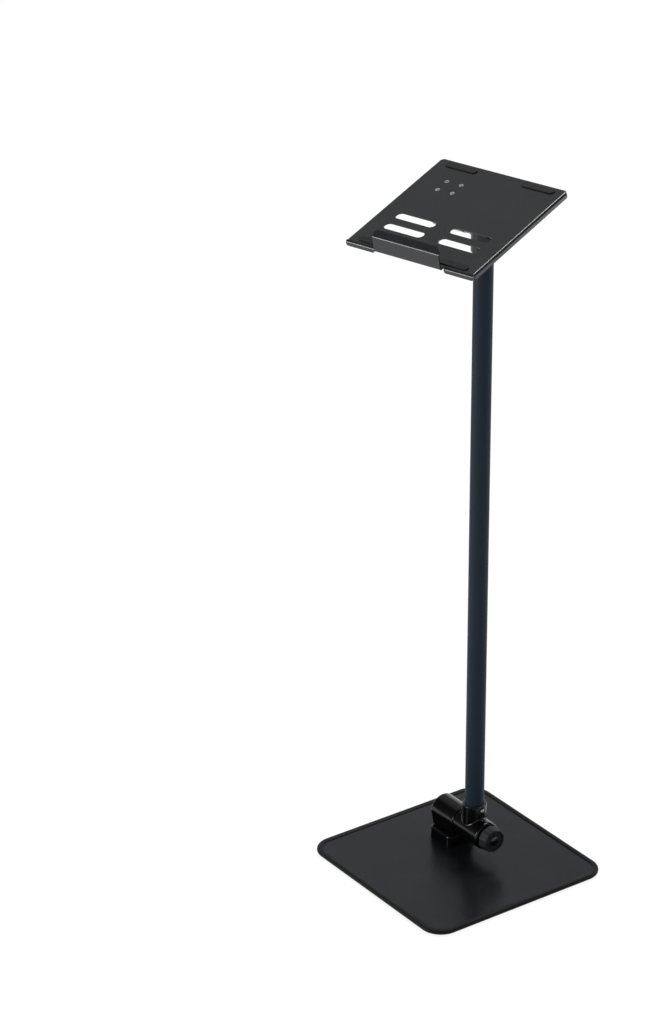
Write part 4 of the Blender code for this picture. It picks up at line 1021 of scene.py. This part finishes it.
# spread is the sun's width in degrees, and the side of the other lamps in metres
lamps = {
    "key": {"kind": "SUN", "place": (-0.75, 1.2, 2.64), "aim": (0, 0, 0), "spread": 20.0,
            "power": 1.6},
    "riderSide": {"kind": "AREA", "place": (-1.15, -3.2, 0.90), "aim": (0, 0, 1.0), "spread": 1.2,
                  "power": 62.0},
    "rightFill": {"kind": "AREA", "place": (0.9, 3.4, 0.8), "aim": (0, 0, 0.6), "spread": 1.5,
                  "power": 22.0},
}
viewpoint = {"place": (3.99528, -3.09295, 3.02416), "azimuth": 54.69079, "down": 25.25948,
             "roll": -0.20954, "lens": 123.7714}


def whiteForEye(tree):
    # 1 where the eye or a reflection meets the surface, 0 for the light that bounces
    path = tree.nodes.new("ShaderNodeLightPath").outputs
    first = addMath(tree, "MAXIMUM", path["Is Camera Ray"], path["Is Glossy Ray"])
    return addMath(tree, "MAXIMUM", first, path["Is Transmission Ray"])


def buildFloor():
    bm = bmesh.new()
    bmesh.ops.create_grid(bm, x_segments=1, y_segments=1, size=studio["floor"] / 2)
    mesh = closeMesh("studioFloor", bm)
    floor = addObject("studioFloor", mesh)
    material = bpy.data.materials.new("floorPaper")
    material.use_nodes = True
    tree = material.node_tree
    tree.nodes.clear()
    paper = addNode(tree, "ShaderNodeBsdfDiffuse", None, Color=studio["floorColor"])
    white = addNode(tree, "ShaderNodeEmission", None, Color=(1, 1, 1, 1), Strength=1.0)
    share = addMath(tree, "MULTIPLY", whiteForEye(tree), studio["floorWhite"])
    mixed = addNode(tree, "ShaderNodeMixShader", None, _0=share, _1=paper.outputs[0],
                    _2=white.outputs[0])
    output = tree.nodes.new("ShaderNodeOutputMaterial")
    tree.links.new(mixed.outputs[0], output.inputs["Surface"])
    mesh.materials.append(material)


def buildWorld():
    # the eye sees white all round; gloss sees a white backdrop, a paler wall in front, a window
    # high up on one side and otherwise a dim room
    world = bpy.data.worlds.new("studio")
    bpy.context.scene.world = world
    world.use_nodes = True
    tree = world.node_tree
    tree.nodes.clear()
    toward = tree.nodes.new("ShaderNodeTexCoord").outputs["Generated"]
    parts = addNode(tree, "ShaderNodeSeparateXYZ", None, Vector=toward)
    path = tree.nodes.new("ShaderNodeLightPath").outputs

    def ramp(value, span, bottom, top):
        return addNode(tree, "ShaderNodeMapRange", {"interpolation_type": "SMOOTHSTEP"},
                       Value=value, From_Min=span[0], From_Max=span[1], To_Min=bottom,
                       To_Max=top).outputs[0]

    def along(direction):
        return addNode(tree, "ShaderNodeVectorMath", {"operation": "DOT_PRODUCT"}, _0=toward,
                       _1=direction).outputs["Value"]

    around = addMath(tree, "MAXIMUM",
                     ramp(along(studio["backWay"]), studio["wallSpan"], 0.0, 1.0),
                     ramp(along(studio["frontWay"]), studio["wallSpan"], 0.0, studio["frontWall"]))
    walls = addMath(tree, "MULTIPLY", around,
                    ramp(parts.outputs["Z"], studio["wallTop"], 1.0, 0.0))
    window = ramp(along(studio["windowWay"]), studio["windowSpan"], 0.0, studio["window"])
    bright = addMath(tree, "MAXIMUM", walls, window)
    gloss = addNode(tree, "ShaderNodeMapRange", None, Value=bright, To_Min=studio["roomShade"],
                    To_Max=1.0).outputs[0]
    soft = ramp(along(studio["skyWay"]), studio["skySpan"], studio["skyFront"], studio["skyBack"])
    shiny = addMath(tree, "MAXIMUM", path["Is Glossy Ray"], path["Is Transmission Ray"])
    lit = addNode(tree, "ShaderNodeMix", None, _0=shiny, _2=soft, _3=gloss).outputs[0]
    shown = addNode(tree, "ShaderNodeMix", None, _0=path["Is Camera Ray"], _2=lit, _3=1.0)
    light = addNode(tree, "ShaderNodeBackground", None, Color=(1, 1, 1, 1),
                    Strength=shown.outputs[0])
    output = tree.nodes.new("ShaderNodeOutputWorld")
    tree.links.new(light.outputs[0], output.inputs["Surface"])


def buildLamps():
    for name, values in lamps.items():
        data = bpy.data.lights.new(name, values["kind"])
        if values["kind"] == "SUN":
            data.angle = radians(values["spread"])
        else:
            data.size = values["spread"]
        data.energy = values["power"]
        lamp = addObject(name, data)
        lamp.location = values["place"]
        way = Vector(values["aim"]) - Vector(values["place"])
        lamp.rotation_euler = way.to_track_quat("-Z", "Y").to_euler()


def buildCamera():
    azimuth, down, roll = (radians(viewpoint[key]) for key in ("azimuth", "down", "roll"))
    ahead = Vector((-cos(down) * sin(azimuth), cos(down) * cos(azimuth), -sin(down)))
    right = ahead.cross(Vector((0, 0, 1))).normalized()
    up = right.cross(ahead)
    across = cos(roll) * right + sin(roll) * up
    above = cos(roll) * up - sin(roll) * right
    data = bpy.data.cameras.new("camera")
    data.lens = viewpoint["lens"]
    data.sensor_width = 36
    data.clip_end = 200
    camera = addObject("camera", data)
    turn = Matrix((across, above, -ahead)).transposed().to_4x4()
    camera.matrix_world = Matrix.Translation(viewpoint["place"]) @ turn
    bpy.context.scene.camera = camera


buildFloor()
buildWorld()
buildLamps()
buildCamera()
bpy.context.scene.view_settings.view_transform = "Standard"
print("studio built")

bpy.context.view_layer.update()
